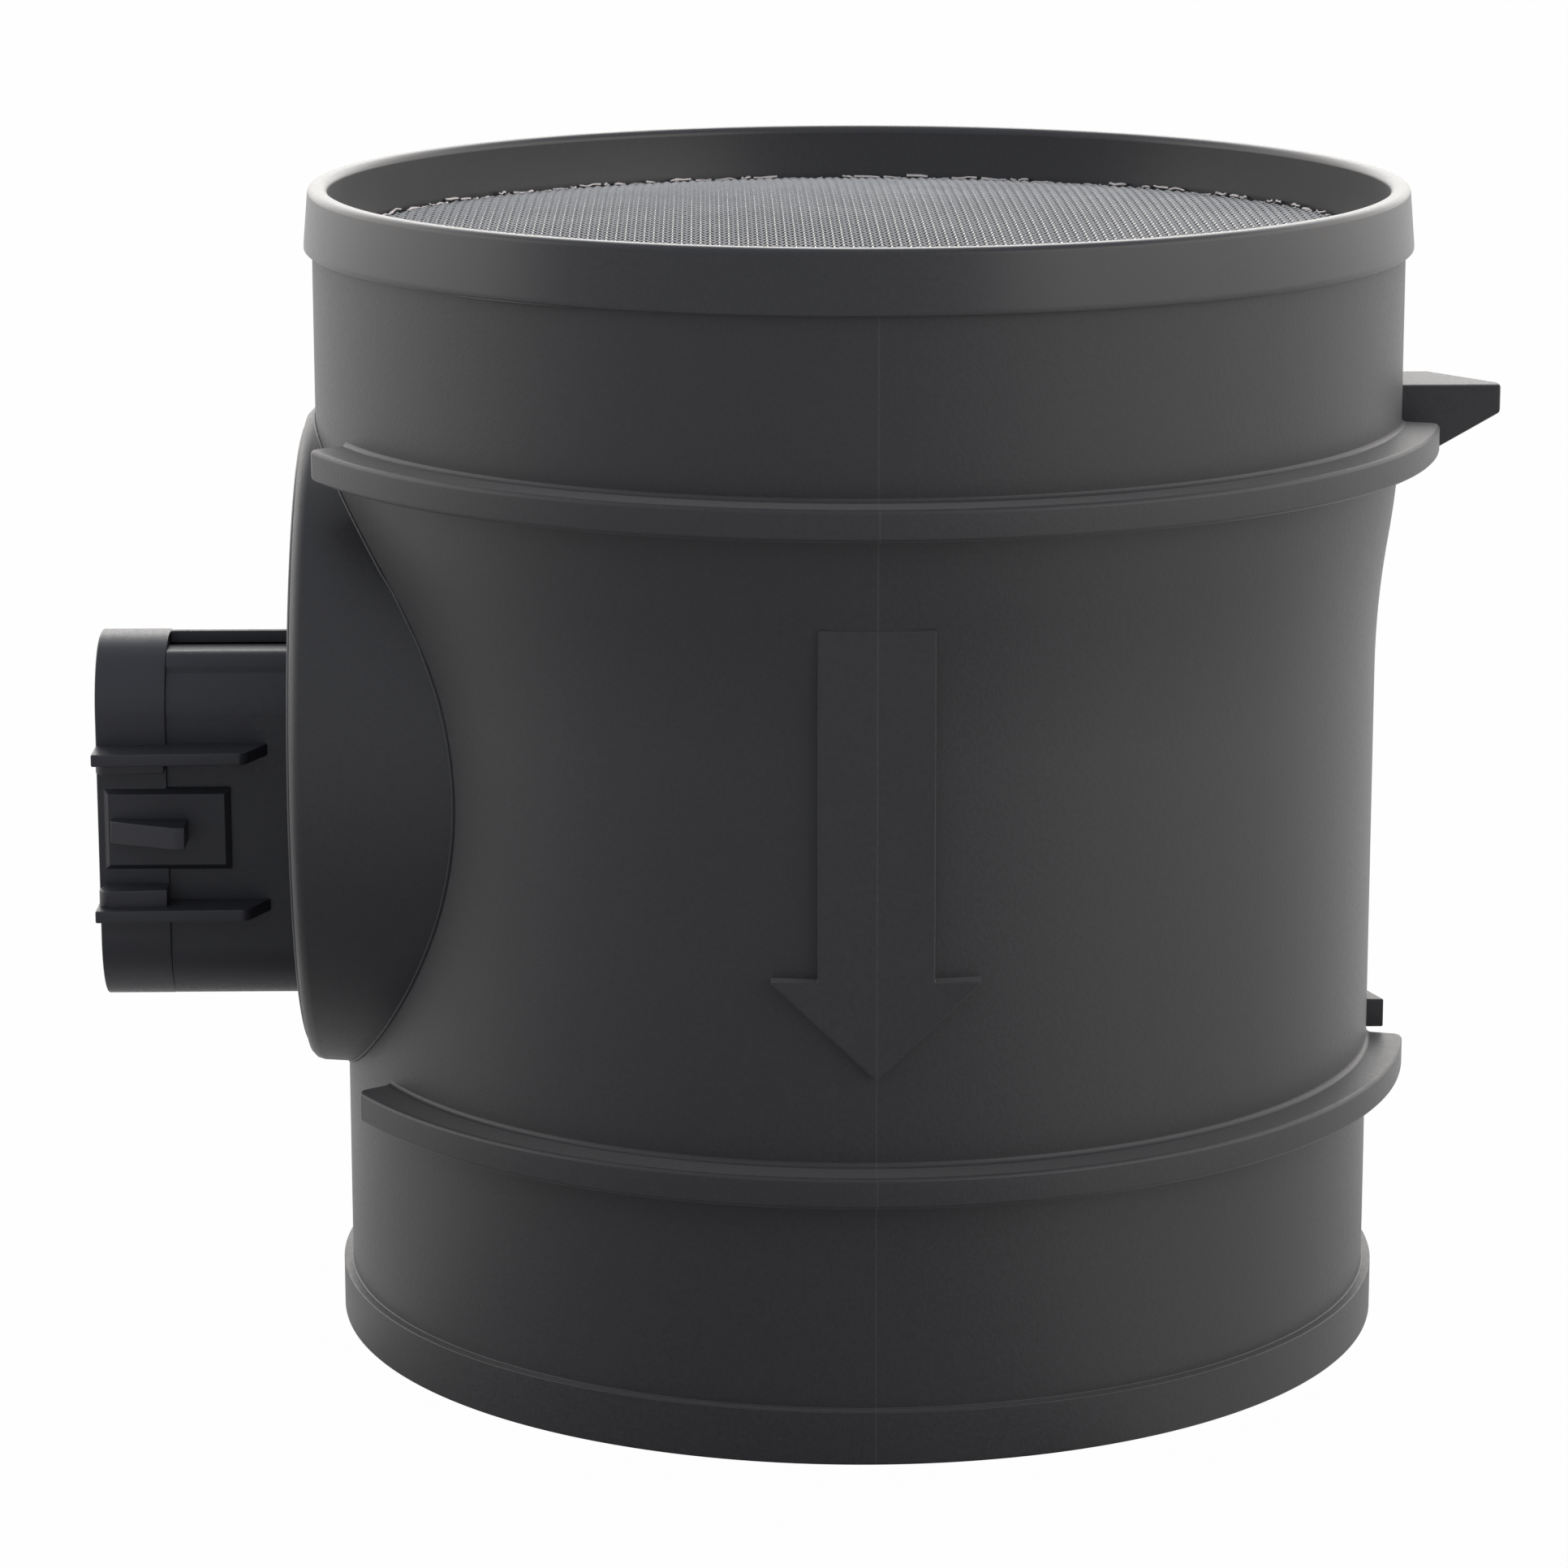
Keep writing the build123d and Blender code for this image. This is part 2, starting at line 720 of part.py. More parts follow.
# Probe body: flange, strut and the sampling duct round the sensing elements
with BuildPart() as probe_body:
    with BuildSketch(bay_plane.offset(bay_floor)):
        RectangleRounded(flange_w, flange_h, flange_corner)
    extrude(amount=flange_t)
    with BuildSketch(bay_plane.offset(duct_bore_r)):
        add(strut_outline(0))
    extrude(amount=bay_floor - duct_bore_r)
    with BuildSketch(Plane.XZ):
        with BuildLine():
            half = duct_len / 2
            Polyline(
                (0, bay_z - half),
                (duct_r - duct_lip, bay_z - half),
                (duct_r, bay_z - half + duct_lip),
                (duct_r, bay_z + half - duct_lip),
                (duct_r - duct_lip, bay_z + half),
                (0, bay_z + half),
                close=True,
            )
        make_face()
    revolve(axis=Axis.Z)
    with BuildSketch(Plane.XY.offset(bay_z - half)):
        Circle(duct_bore_r)
    extrude(amount=duct_len, mode=Mode.SUBTRACT)
    with BuildSketch(bay_plane):
        with pin_spots():
            Circle(pin_r + pin_hole_gap)
    extrude(amount=board_back, mode=Mode.SUBTRACT)
    with BuildSketch(bay_plane.offset(bay_floor)):
        with stake_spots():
            Circle(stake_r + stake_gap)
    extrude(amount=flange_t, mode=Mode.SUBTRACT)
    with BuildSketch(Plane.XY.offset(strut_top_z)):
        with thermistor_spots():
            Circle(thermistor_lead_r + pin_hole_gap)
    extrude(amount=-thermistor_lead_in, mode=Mode.SUBTRACT)

finish(probe_body.part, "probe_body")

# Probe seal: a ring round the strut, under the flange
with BuildPart() as probe_seal:
    with BuildSketch(bay_plane.offset(bay_floor - probe_seal_h)):
        add(strut_outline(probe_seal_offset + probe_seal_w))
        add(strut_outline(probe_seal_offset), mode=Mode.SUBTRACT)
    extrude(amount=probe_seal_h)

finish(probe_seal.part, "probe_seal")

# Pins and sensing elements: the hot pair in front, the cold pair behind
for name, row_y, tip_x in (
    ("hot", -pin_row_y, hot_pin_tip),
    ("cold", pin_row_y, cold_pin_tip),
):
    with BuildPart() as pins:
        with BuildSketch(bay_plane.offset(tip_x)):
            with Locations((-row_y, 0)):
                with GridLocations(0, pin_span, 1, 2):
                    Circle(pin_r)
        extrude(amount=board_face + pin_tail - tip_x)
    finish(pins.part, f"{name}_pins")

    with BuildPart() as element:
        reach = pin_span / 2 - pin_r
        axis_plane = Plane(origin=(-tip_x - element_r, row_y, bay_z))
        with BuildSketch(axis_plane.offset(-element_len / 2)):
            Circle(element_r)
        extrude(amount=element_len)
        with BuildSketch(axis_plane.offset(-reach)):
            Circle(lead_r)
        extrude(amount=2 * reach)
    finish(element.part, f"{name}_element")

# Air temperature bead on two leads above the strut
with BuildPart() as air_temperature_bead:
    with BuildSketch(Plane.XY.offset(strut_top_z - thermistor_lead_in)):
        with thermistor_spots():
            Circle(thermistor_lead_r)
    extrude(amount=thermistor_lead_in + thermistor_lift)
    with Locations((-thermistor_x, 0, strut_top_z + thermistor_lift)):
        Sphere(thermistor_r)

finish(air_temperature_bead.part, "air_temperature_bead")
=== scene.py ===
"""Mass airflow sensor: the moulded flow tube, its module bay and connector, and a woven inlet screen."""

import json
import random
from math import cos, hypot, pi, radians, sin, sqrt, tan

import bmesh
import bpy
from mathutils import Matrix, Vector


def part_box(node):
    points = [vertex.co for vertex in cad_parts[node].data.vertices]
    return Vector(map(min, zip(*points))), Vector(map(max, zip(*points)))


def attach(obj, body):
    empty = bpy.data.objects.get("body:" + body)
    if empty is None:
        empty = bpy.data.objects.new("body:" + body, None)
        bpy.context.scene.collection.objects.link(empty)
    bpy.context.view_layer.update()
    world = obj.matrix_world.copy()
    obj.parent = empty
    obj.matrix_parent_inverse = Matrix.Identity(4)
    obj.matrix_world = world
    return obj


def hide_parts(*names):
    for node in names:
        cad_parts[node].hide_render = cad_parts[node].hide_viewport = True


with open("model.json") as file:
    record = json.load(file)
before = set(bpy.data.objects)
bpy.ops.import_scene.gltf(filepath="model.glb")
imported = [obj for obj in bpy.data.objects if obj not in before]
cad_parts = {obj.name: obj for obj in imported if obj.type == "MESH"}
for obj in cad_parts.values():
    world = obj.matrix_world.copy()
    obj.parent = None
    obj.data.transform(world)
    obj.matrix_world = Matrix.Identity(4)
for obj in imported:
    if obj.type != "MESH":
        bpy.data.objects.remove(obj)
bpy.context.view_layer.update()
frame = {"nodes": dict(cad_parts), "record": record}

MM = 0.001
TINY = 1e-6
SHARP_ANGLE = radians(32)

# Steps in a full turn of the tube, the bay and the cut for its chamber
TURN_STEPS = 288
BAY_STEPS = 192
CHAMBER_STEPS = 96

# Cutters reach this far past what they cut, in millimetres
CLEAR = 5.0

tube_low, tube_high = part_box("flow_tube")
cover_low, cover_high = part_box("module_cover")
screen_low, screen_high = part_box("inlet_screen")

# Flow tube, in millimetres
TUBE_TOP = tube_high.z / MM
WALL = 2.4
BASE_BAND_R = 48.9
BASE_BAND_H = 4.9
WAIST_R = 48.05
WAIST_TOP = 62.0
FLARE_TOP = 87.0
FLARE_STEPS = 12
NECK_R = 50.0
BAND_Z = 100.9
BAND_LAND = 0.4
BAND_R = 50.75
RIM_R = 50.3
RIM_WALL = 1.8
MOUTH_CHAMFER = 0.6

# Rounding of the tube's edges
BASE_ROUND = 0.25
BASE_TOP_ROUND = 0.1
STEP_ROUND = 0.12
LAND_ROUND = 0.15
RIM_ROUND = 0.55
RIM_INNER_ROUND = 0.7

# Seat of the screen
SCREEN_R = screen_high.x / MM + 0.1
SCREEN_Z = screen_low.z / MM + 0.35
SEAT_LIP = 1.3
SEAT_DEPTH = 0.95

# Mould flash under the inlet band: its ends in degrees from the arrow
FLASH_R = 0.09
FLASH_STEPS = 12
FLASH_ENDS = (-46.0, -30.0)
FLASH_TIP = 0.3

# Ribs: bottom, outer radius and ends in degrees from the arrow
RIB_T = 2.8
UPPER_RIB = (82.4, -tube_low.y / MM, (-67.3, 81.3))
LOWER_RIB = (24.0, 51.4, (-63.6, 84.0))
RIB_CORNER = 1.0
RIB_EDGE = 0.4
RIB_FOLD = radians(60)
RIB_FILLET = 0.45
FILLET_TURNS = (0, pi / 8, pi / 4, 3 * pi / 8, pi / 2)

# Arrow, set a little to the right of the middle, and the mould's seam
ARROW_FACE = 49.05
ARROW_SHAFT = 10.0
ARROW_HEAD = 18.2
ARROW_TIP_Z = 34.8
ARROW_HEAD_Z = 43.6
ARROW_TOP_Z = 74.1
ARROW_SHIFT = 0.28
ARROW_SOFT = 0.15
SEAM_X = 0.33
SEAM_HALF = (0.04, 0.11)

# Catches on the far side
CATCH_W = 8.6
CATCH_FRONT = 4.4
CATCH_TOP = 88.1
CATCH_REACH = tube_high.x / MM
CATCH_BEND_X = 53.3
CATCH_BEND_DROP = 5.8
CATCH_SLOPE = radians(30)
NOSE_H = 2.6
NOSE_W = 1.4
CATCH_SOFT = 0.25
STOP_REACH = 49.5
STOP_W = 4.2
STOP_ENDS = (27.1, 29.8)
STOP_SOFT = 0.15

# Module bay: distances from the tube's axis, and radii about the bay's own axis
BAY_Z = 55.0
BAY_R = 30.5
BAY_DRAFT = tan(radians(3.4))
BAY_ROUND = 1.2
BAY_INNER_ROUND = 0.1
BAY_START = 30
COVER_R = 29.0
COVER_GAP = 0.1
COVER_BACK = -cover_high.x / MM
BAY_FACE = COVER_BACK + 2.3
COVER_FACE = BAY_FACE + 0.25
COVER_ROUND = 0.3
CHAMBER_R = 26.0
CHAMBER_FLOOR = 44.8
CHAMBER_CUT = (43.2, 60)
CHAMBER_CUT_MARGIN = 0.6
BORE_CUT = (10, 100)
FLOOR_FACE = 42.6
FLOOR_R = 26.8
FLOOR_SLOPE = tan(radians(30))
FLOOR_ROUND = 0.3
BEAD_R = 0.17
BEAD_POINTS = 120
BEAD_PASSES = 12

# A row of corners just below the bay, so that the faces its hole cuts into are short ones
WALL_ROW_Z = BAY_Z - FLOOR_R - 1

# Connector
PLUG_Z = 47.52
PLUG_END = -cover_low.x / MM
COLLAR_LEN = 6.5
COLLAR_H = 34.4
COLLAR_W = 14.6
COLLAR_CORNER = 6.6
CORNER_SEGMENTS = 10
COLLAR_STEP = 0.4
COLLAR_SOFT = 0.2
FOOT_STEP = 0.15
SHOULDER = 1.0
BODY_SUNK = 0.3
SADDLE_INSET = 1.45
SADDLE_ROUND = 1.45
FIN_T = 0.8
FIN_RISE = 0.1
FIN_SOFT = 0.12
SHROUD_WALL = 1.8
SOCKET_DEPTH = 13.0
SOCKET_OVERSHOOT = 1

# Lock on the connector's front
GUARD_SPACING = 14.75
GUARD_T = 1.15
GUARD_RISE = 4.3
GUARD_END = COVER_FACE + 3.45
GUARD_SLOPE = 1.3
GUARD_ROUND = 1.5
GUARD_SOFT = 0.15
BLOCK_H = (1.6, 1.05)
BLOCK_RISE = 2.55
BLOCK_INSET = 0.7
BLOCK_ROUND = 0.5
BLOCK_SUNK = 0.2
PAD_H = 7.7
PAD_INSET = 0.55
PAD_LEN = 11.75
PAD_RISE = 0.45
PAD_EDGE = 0.5
PAD_SOFT = 0.06
WEDGE_H = 2.1
WEDGE_INSET = 1.3
WEDGE_LEN = 7.1
WEDGE_FLAT = 1.0
WEDGE_START_RISE = 0.95
WEDGE_RISE = 3.75
WEDGE_SOFT = 0.12

# Woven screen
WIRE_PITCH = 0.85
WIRE_R = 0.1
WIRE_LEVEL = 0.3
CROWN = 1.3
WARP_CRIMP = 1.45
WEFT_CRIMP = 1.0
FEWEST_CROSSINGS = 2

# Cut wire ends along the screen's edge: ranges in millimetres, and of the thickness as a share
END_R = 0.14
END_LENGTH = (0.5, 2.6)
END_INSET = (0.2, 0.75)
END_HEIGHT = (0.22, 0.6)
END_SIDEWAYS = (-0.12, 0.12)
END_UPWARD = (-0.1, 0.12)
END_THICKNESS = (0.6, 1.3)
END_GAP = (0.05, 0.7)
END_STEPS = 3
END_SEED = 11
LAST_END = 2 * pi - 0.04

# Colours of the mouldings and wires, each from dark to light
NYLON = ((0.0255, 0.0255, 0.0285), (0.032, 0.0315, 0.0335))
SEAM_COLOUR = (0.048, 0.047, 0.047)
# Cover and connector: lighter than the tube's nylon, as painted fill light for the shade the connector
# sits in beside the bay
SHROUD_PAINTED_FILL = ((0.03, 0.0305, 0.037), (0.0375, 0.038, 0.0445))
STEEL = ((0.5, 0.5, 0.485), (0.68, 0.67, 0.65))
# Cut wire ends: bare steel, brightened near white as a painted glint
BARE_STEEL_AND_GLINT = ((0.62, 0.56, 0.54), (0.95, 0.9, 0.88))

# Finish of the tube: its wall and its smoother inlet band, and the grain's share of colour and roughness
WALL_ROUGH = 0.46
BAND_ROUGH = 0.32
BAND_GRAIN = 0.05
BAND_BLUR = 0.1
COLOUR_GRAIN = (0.84, 1.16)
ROUGH_GRAIN = (0.9, 1.12)

# Most values of a noise lie in this span
NOISE_SPAN = (0.3, 0.7)

# Floor: half its width, and the distances and depths where its glow in mirrors changes, in metres. That
# glow is painted: painted light beside and behind, dimmer painted shade in front, and a painted shadow
# near the object
FLOOR_HALF = 4.0
FLOOR_GREY = 0.4
FLOOR_GLOW = 0.985
FLOOR_DIM = 0.48
FLOOR_SHADOW_FADE = (0.1, 0.42)
FLOOR_SIDE_SHADOW_FADE = (0.1, 0.3)
FLOOR_SIDE_SHADOW_SHARE = 0.5
FLOOR_BEHIND = (-0.03, 0.06)

# Room: its dim front between two directions in degrees from -Y, and its levels and tints
DIM_FROM = -72.0
DIM_TO = 28.0
DIM_BLUR = 8.0
ROOM_DIM = 0.62
ROOM_LIT = 2.3
ROOM_COOL = (0.95, 0.985, 1.08)
ROOM_WARM = (1.03, 1.0, 0.965)
CEILING = (0.45, 0.8)
AMBIENT = 0.66

# Lamp behind the object, in metres and watts
BACK_PLACE = (0, 1.6, 0.9)
BACK_TARGET = (0, 0, 0.05)
BACK_SIZE = (2.4, 1.2)
BACK_POWER = 8.0

# Camera: place in millimetres, heading to the right of +Y, tilt down and roll in degrees
CAMERA_PLACE = (-13.99, -491.69, 161.85)
CAMERA_HEADING = 0.828
CAMERA_TILT = 12.834
CAMERA_ROLL = -0.086
CAMERA_LENS = 123.25
CAMERA_SENSOR = 36.0
CAMERA_REACH = 100


# Shader helpers


def node(tree, kind, **settings):
    """Adds a shader node with its settings."""
    made = tree.nodes.new(kind)
    for name, value in settings.items():
        setattr(made, name, value)
    return made


def feed(tree, value, socket):
    """Links an output to a socket, or sets the socket to a number or a colour."""
    if isinstance(value, bpy.types.NodeSocket):
        tree.links.new(value, socket)
    elif isinstance(value, tuple):
        socket.default_value = (*value, 1)
    else:
        socket.default_value = value


def noise(tree, coords, scale, detail, roughness=0.5):
    """Noise over the piece's own coordinates."""
    made = node(tree, "ShaderNodeTexNoise")
    made.inputs["Scale"].default_value = scale
    made.inputs["Detail"].default_value = detail
    made.inputs["Roughness"].default_value = roughness
    tree.links.new(coords, made.inputs["Vector"])
    return made.outputs["Fac"]


def ranged(tree, value, low, high, to_low, to_high):
    """Maps a value from one range to another."""
    made = node(tree, "ShaderNodeMapRange")
    numbers = (("From Min", low), ("From Max", high), ("To Min", to_low), ("To Max", to_high))
    for name, number in numbers:
        made.inputs[name].default_value = number
    tree.links.new(value, made.inputs["Value"])
    return made.outputs["Result"]


def maths(tree, operation, first, second=None):
    """A sum or other operation on one or two values."""
    made = node(tree, "ShaderNodeMath", operation=operation)
    feed(tree, first, made.inputs[0])
    if second is not None:
        feed(tree, second, made.inputs[1])
    return made.outputs[0]


def blended(tree, factor, first, second, blend_type="MIX"):
    """Mixes two colours by a factor."""
    made = node(tree, "ShaderNodeMix", data_type="RGBA", blend_type=blend_type)
    feed(tree, factor, made.inputs[0])
    feed(tree, first, made.inputs[6])
    feed(tree, second, made.inputs[7])
    return made.outputs[2]


def parted(tree, vector):
    """The X, Y and Z of a vector."""
    made = node(tree, "ShaderNodeSeparateXYZ")
    tree.links.new(vector, made.inputs[0])
    return made.outputs


def surface(name):
    """A material with a principled shader, with its tree, shader and object coordinates."""
    material = bpy.data.materials.new(name)
    material.use_nodes = True
    tree = material.node_tree
    shader = tree.nodes["Principled BSDF"]
    coords = node(tree, "ShaderNodeTexCoord").outputs["Object"]
    return material, tree, shader, coords


def roughened(tree, shader, height, strength, distance):
    """Gives the shader a bump from a height pattern."""
    bump = node(tree, "ShaderNodeBump")
    bump.inputs["Strength"].default_value = strength
    bump.inputs["Distance"].default_value = distance
    tree.links.new(height, bump.inputs["Height"])
    tree.links.new(bump.outputs["Normal"], shader.inputs["Normal"])


# Materials


def charcoal_nylon():
    """Glass-filled nylon of the tube: fine grain, smoother on the inlet band, with the mould's seam."""
    material, tree, shader, coords = surface("charcoal_nylon")
    grain = noise(tree, coords, scale=2600, detail=3, roughness=0.6)
    mottle = blended(tree, noise(tree, coords, scale=38, detail=3), *NYLON)
    place = parted(tree, coords)
    below_band = ranged(tree, place["Z"], (BAND_Z - BAND_BLUR) * MM, (BAND_Z + BAND_BLUR) * MM, 1, 0)
    across = maths(tree, "SUBTRACT", place["X"], SEAM_X * MM)
    seam = ranged(tree, maths(tree, "ABSOLUTE", across), SEAM_HALF[0] * MM, SEAM_HALF[1] * MM, 1, 0)
    seamed = blended(tree, maths(tree, "MULTIPLY", seam, below_band), mottle, SEAM_COLOUR)
    specks = ranged(tree, grain, *NOISE_SPAN, *COLOUR_GRAIN)
    tree.links.new(blended(tree, 1.0, seamed, specks, "MULTIPLY"), shader.inputs["Base Color"])
    matte = ranged(tree, below_band, 0, 1, BAND_ROUGH, WALL_ROUGH)
    uneven = ranged(tree, grain, *NOISE_SPAN, *ROUGH_GRAIN)
    tree.links.new(maths(tree, "MULTIPLY", matte, uneven), shader.inputs["Roughness"])
    shader.inputs["Sheen Weight"].default_value = 0.18
    shader.inputs["Sheen Roughness"].default_value = 0.5
    shader.inputs["Sheen Tint"].default_value = (1, 1, 1, 1)
    height = maths(tree, "MULTIPLY", grain, ranged(tree, below_band, 0, 1, BAND_GRAIN, 1))
    roughened(tree, shader, height, strength=0.35, distance=0.05 * MM)
    return material


def shroud_nylon_painted_fill():
    """Moulding of the cover and connector, its colour set lighter than the tube's nylon as painted fill
    light for the shade beside the module bay.
    """
    material, tree, shader, coords = surface("shroud_nylon_painted_fill")
    grain = noise(tree, coords, scale=3000, detail=2)
    mottle = blended(tree, noise(tree, coords, scale=60, detail=2), *SHROUD_PAINTED_FILL)
    tree.links.new(mottle, shader.inputs["Base Color"])
    tree.links.new(ranged(tree, grain, *NOISE_SPAN, 0.36, 0.48), shader.inputs["Roughness"])
    roughened(tree, shader, grain, strength=0.25, distance=0.03 * MM)
    return material


def wire_finish(name, colours, rough, metallic, scale):
    """Steel wire with a light tarnish."""
    material, tree, shader, coords = surface(name)
    tarnish = noise(tree, coords, scale, detail=3)
    tree.links.new(blended(tree, tarnish, *colours), shader.inputs["Base Color"])
    tree.links.new(ranged(tree, tarnish, *NOISE_SPAN, *rough), shader.inputs["Roughness"])
    shader.inputs["Metallic"].default_value = metallic
    return material


def drawn_wire():
    """Bright drawn steel wire of the screen."""
    return wire_finish("drawn_wire", STEEL, rough=(0.28, 0.42), metallic=1.0, scale=90)


def cut_wire_and_glint():
    """Bare ends of the screen's wires, their colour brightened near white with little metal as a painted
    glint, since they sit in the inner wall's shade.
    """
    return wire_finish("cut_wire_and_glint", BARE_STEEL_AND_GLINT, rough=(0.3, 0.5), metallic=0.25, scale=400)


def plain_finish(name, dark, light, rough, metallic=0.0, scale=600.0):
    """A finish with a light mottle in its colour, roughness and surface."""
    material, tree, shader, coords = surface(name)
    mottle = noise(tree, coords, scale, detail=3)
    roughness = ranged(tree, mottle, *NOISE_SPAN, rough * 0.85, rough * 1.15)
    tree.links.new(blended(tree, mottle, dark, light), shader.inputs["Base Color"])
    tree.links.new(roughness, shader.inputs["Roughness"])
    shader.inputs["Metallic"].default_value = metallic
    roughened(tree, shader, mottle, strength=0.3, distance=0.02 * MM)
    return material


# Mesh helpers


def closed(bm):
    """Merges doubles and turns the faces outwards."""
    bmesh.ops.remove_doubles(bm, verts=bm.verts, dist=TINY)
    bmesh.ops.recalc_face_normals(bm, faces=bm.faces)


def rounded(bm, edges, radius, segments=3):
    """Rounds a list of edges."""
    bmesh.ops.bevel(
        bm,
        geom=list(edges),
        offset=radius * MM,
        offset_type="OFFSET",
        segments=segments,
        profile=0.5,
        affect="EDGES",
        clamp_overlap=True,
        material=-1,
    )


def spun(bm, outline, angle, steps, is_full_turn):
    """Spins corners and edges about Z."""
    bmesh.ops.spin(
        bm,
        geom=outline,
        cent=(0, 0, 0),
        axis=(0, 0, 1),
        dvec=(0, 0, 0),
        angle=angle,
        steps=steps,
        use_merge=is_full_turn,
        use_normal_flip=False,
        use_duplicate=False,
    )


def ring_edges(bm, radius, height):
    """Edges of the circle at one radius and height."""

    def is_on(vert):
        off = abs(hypot(vert.co.x, vert.co.y) - radius * MM)
        return off < TINY and abs(vert.co.z - height * MM) < TINY

    return [edge for edge in bm.edges if is_on(edge.verts[0]) and is_on(edge.verts[1])]


def turned(profile, is_ring=True, steps=TURN_STEPS):
    """Turns a profile of (radius, height, rounding) corners about Z."""
    bm = bmesh.new()
    corners = [bm.verts.new((radius * MM, 0, height * MM)) for radius, height, _ in profile]
    following = corners[1:] + corners[:1] if is_ring else corners[1:]
    sides = [bm.edges.new(pair) for pair in zip(corners, following)]
    spun(bm, corners + sides, 2 * pi, steps, is_full_turn=True)
    closed(bm)
    for radius, height, rounding in profile:
        if rounding:
            rounded(bm, ring_edges(bm, radius, height), rounding)
    return bm


def column(radius, low, high, top_round=0):
    """Profile of a round column, whose top edge may be rounded."""
    return [(0, low, 0), (radius, low, 0), (radius, high, top_round), (0, high, 0)]


def prism(outline, start, stop, place):
    """A solid from a flat outline between two depths; place turns (u, v, depth) into a point."""
    bm = bmesh.new()
    face = bm.faces.new([bm.verts.new(place(u, v, start) * MM) for u, v in outline])
    pushed = bmesh.ops.extrude_face_region(bm, geom=[face], use_keep_orig=True)
    moved = [item for item in pushed["geom"] if isinstance(item, bmesh.types.BMVert)]
    travel = (place(0, 0, stop) - place(0, 0, start)) * MM
    bmesh.ops.translate(bm, verts=moved, vec=travel)
    closed(bm)
    return bm


def upward(u, v, depth):
    """Outline seen from above, depth along Z."""
    return Vector((u, v, depth))


def backward(u, v, depth):
    """Outline seen from the front, depth along Y."""
    return Vector((u, depth, v))


def level_box(low, high):
    """A block between two corners, in millimetres."""
    bm = bmesh.new()
    bmesh.ops.create_cube(bm, size=1.0)
    low, high = Vector(low) * MM, Vector(high) * MM
    bmesh.ops.scale(bm, verts=bm.verts, vec=high - low)
    bmesh.ops.translate(bm, verts=bm.verts, vec=(low + high) / 2)
    return bm


def smooth(mesh):
    """Smooth faces with sharp edges kept sharp."""
    bm = bmesh.new()
    bm.from_mesh(mesh)
    for face in bm.faces:
        face.smooth = True
    for edge in bm.edges:
        edge.smooth = len(edge.link_faces) == 2 and edge.calc_face_angle(0) < SHARP_ANGLE
    bm.to_mesh(mesh)
    bm.free()


def placed(name, data):
    """An object in the scene for a mesh, curve, camera or lamp."""
    made = bpy.data.objects.new(name, data)
    bpy.context.scene.collection.objects.link(made)
    return made


def loose_object(name, bm):
    """An object from a finished bmesh, not yet part of the model."""
    mesh = bpy.data.meshes.new(name)
    bm.to_mesh(mesh)
    bm.free()
    return placed(name, mesh)


def settle(made):
    """Applies the modifiers of an object."""
    graph = bpy.context.evaluated_depsgraph_get()
    mesh = bpy.data.meshes.new_from_object(made.evaluated_get(graph))
    made.modifiers.clear()
    made.data = mesh


def piece(name, bm, material, cutters=(), soft_edge=0.0):
    """A finished piece, less its cutters; soft_edge rounds what is sharp."""
    made = loose_object(name, bm)
    helpers = [
        loose_object(f"{name}_cutter_{number}", cutter) for number, cutter in enumerate(cutters)
    ]
    for helper in helpers:
        modifier = made.modifiers.new("cut", "BOOLEAN")
        modifier.operation = "DIFFERENCE"
        modifier.solver = "EXACT"
        modifier.object = helper
    if soft_edge:
        modifier = made.modifiers.new("soft", "BEVEL")
        modifier.width = soft_edge * MM
        modifier.segments = 2
        modifier.limit_method = "ANGLE"
        modifier.angle_limit = SHARP_ANGLE
    settle(made)
    for helper in helpers:
        bpy.data.objects.remove(helper)
    smooth(made.data)
    modifier = made.modifiers.new("shading", "WEIGHTED_NORMAL")
    modifier.keep_sharp = True
    settle(made)
    made.data.materials.clear()
    made.data.materials.append(material)
    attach(made, "root")
    return made


# Curve helpers


def round_wire(name, radius, resolution, has_caps=True):
    """An empty curve with a round section."""
    curve = bpy.data.curves.new(name, "CURVE")
    curve.dimensions = "3D"
    curve.bevel_depth = radius * MM
    curve.bevel_resolution = resolution
    curve.use_fill_caps = has_caps
    return curve


def add_strand(curve, points, kind="POLY"):
    """Adds a spline through (x, y, z, share of the section's radius) points, in millimetres."""
    spline = curve.splines.new(kind)
    spline.points.add(len(points) - 1)
    for point, (x, y, z, thickness) in zip(spline.points, points):
        point.co = (x * MM, y * MM, z * MM, 1)
        point.radius = thickness
    return spline


def from_curve(name, curve, material):
    """A finished piece from a curve."""
    holder = placed(name + "_path", curve)
    bpy.context.view_layer.update()
    mesh = bpy.data.meshes.new_from_object(holder)
    bpy.data.objects.remove(holder)
    made = placed(name, mesh)
    for face in mesh.polygons:
        face.use_smooth = True
    mesh.materials.clear()
    mesh.materials.append(material)
    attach(made, "root")
    return made


# Flow tube


def flare(low_r, high_r):
    """Corners of the S-curve between the waist and the neck."""
    half_rise = (FLARE_TOP - WAIST_TOP) / 2
    half_run = (high_r - low_r) / 2
    curve = (half_rise**2 + half_run**2) / (2 * half_run)
    corners = []
    for step in range(2 * FLARE_STEPS + 1):
        climb = half_rise * step / FLARE_STEPS
        if climb <= half_rise:
            radius = low_r + curve - sqrt(curve**2 - climb**2)
        else:
            left = 2 * half_rise - climb
            radius = high_r - curve + sqrt(curve**2 - left**2)
        corners.append((radius, WAIST_TOP + climb, 0))
    return corners


def wall_radius(height):
    """Outside radius of the wall at a height."""
    corners = flare(WAIST_R, NECK_R)
    below = [radius for radius, level, _ in corners if level <= height]
    return below[-1] if below else WAIST_R


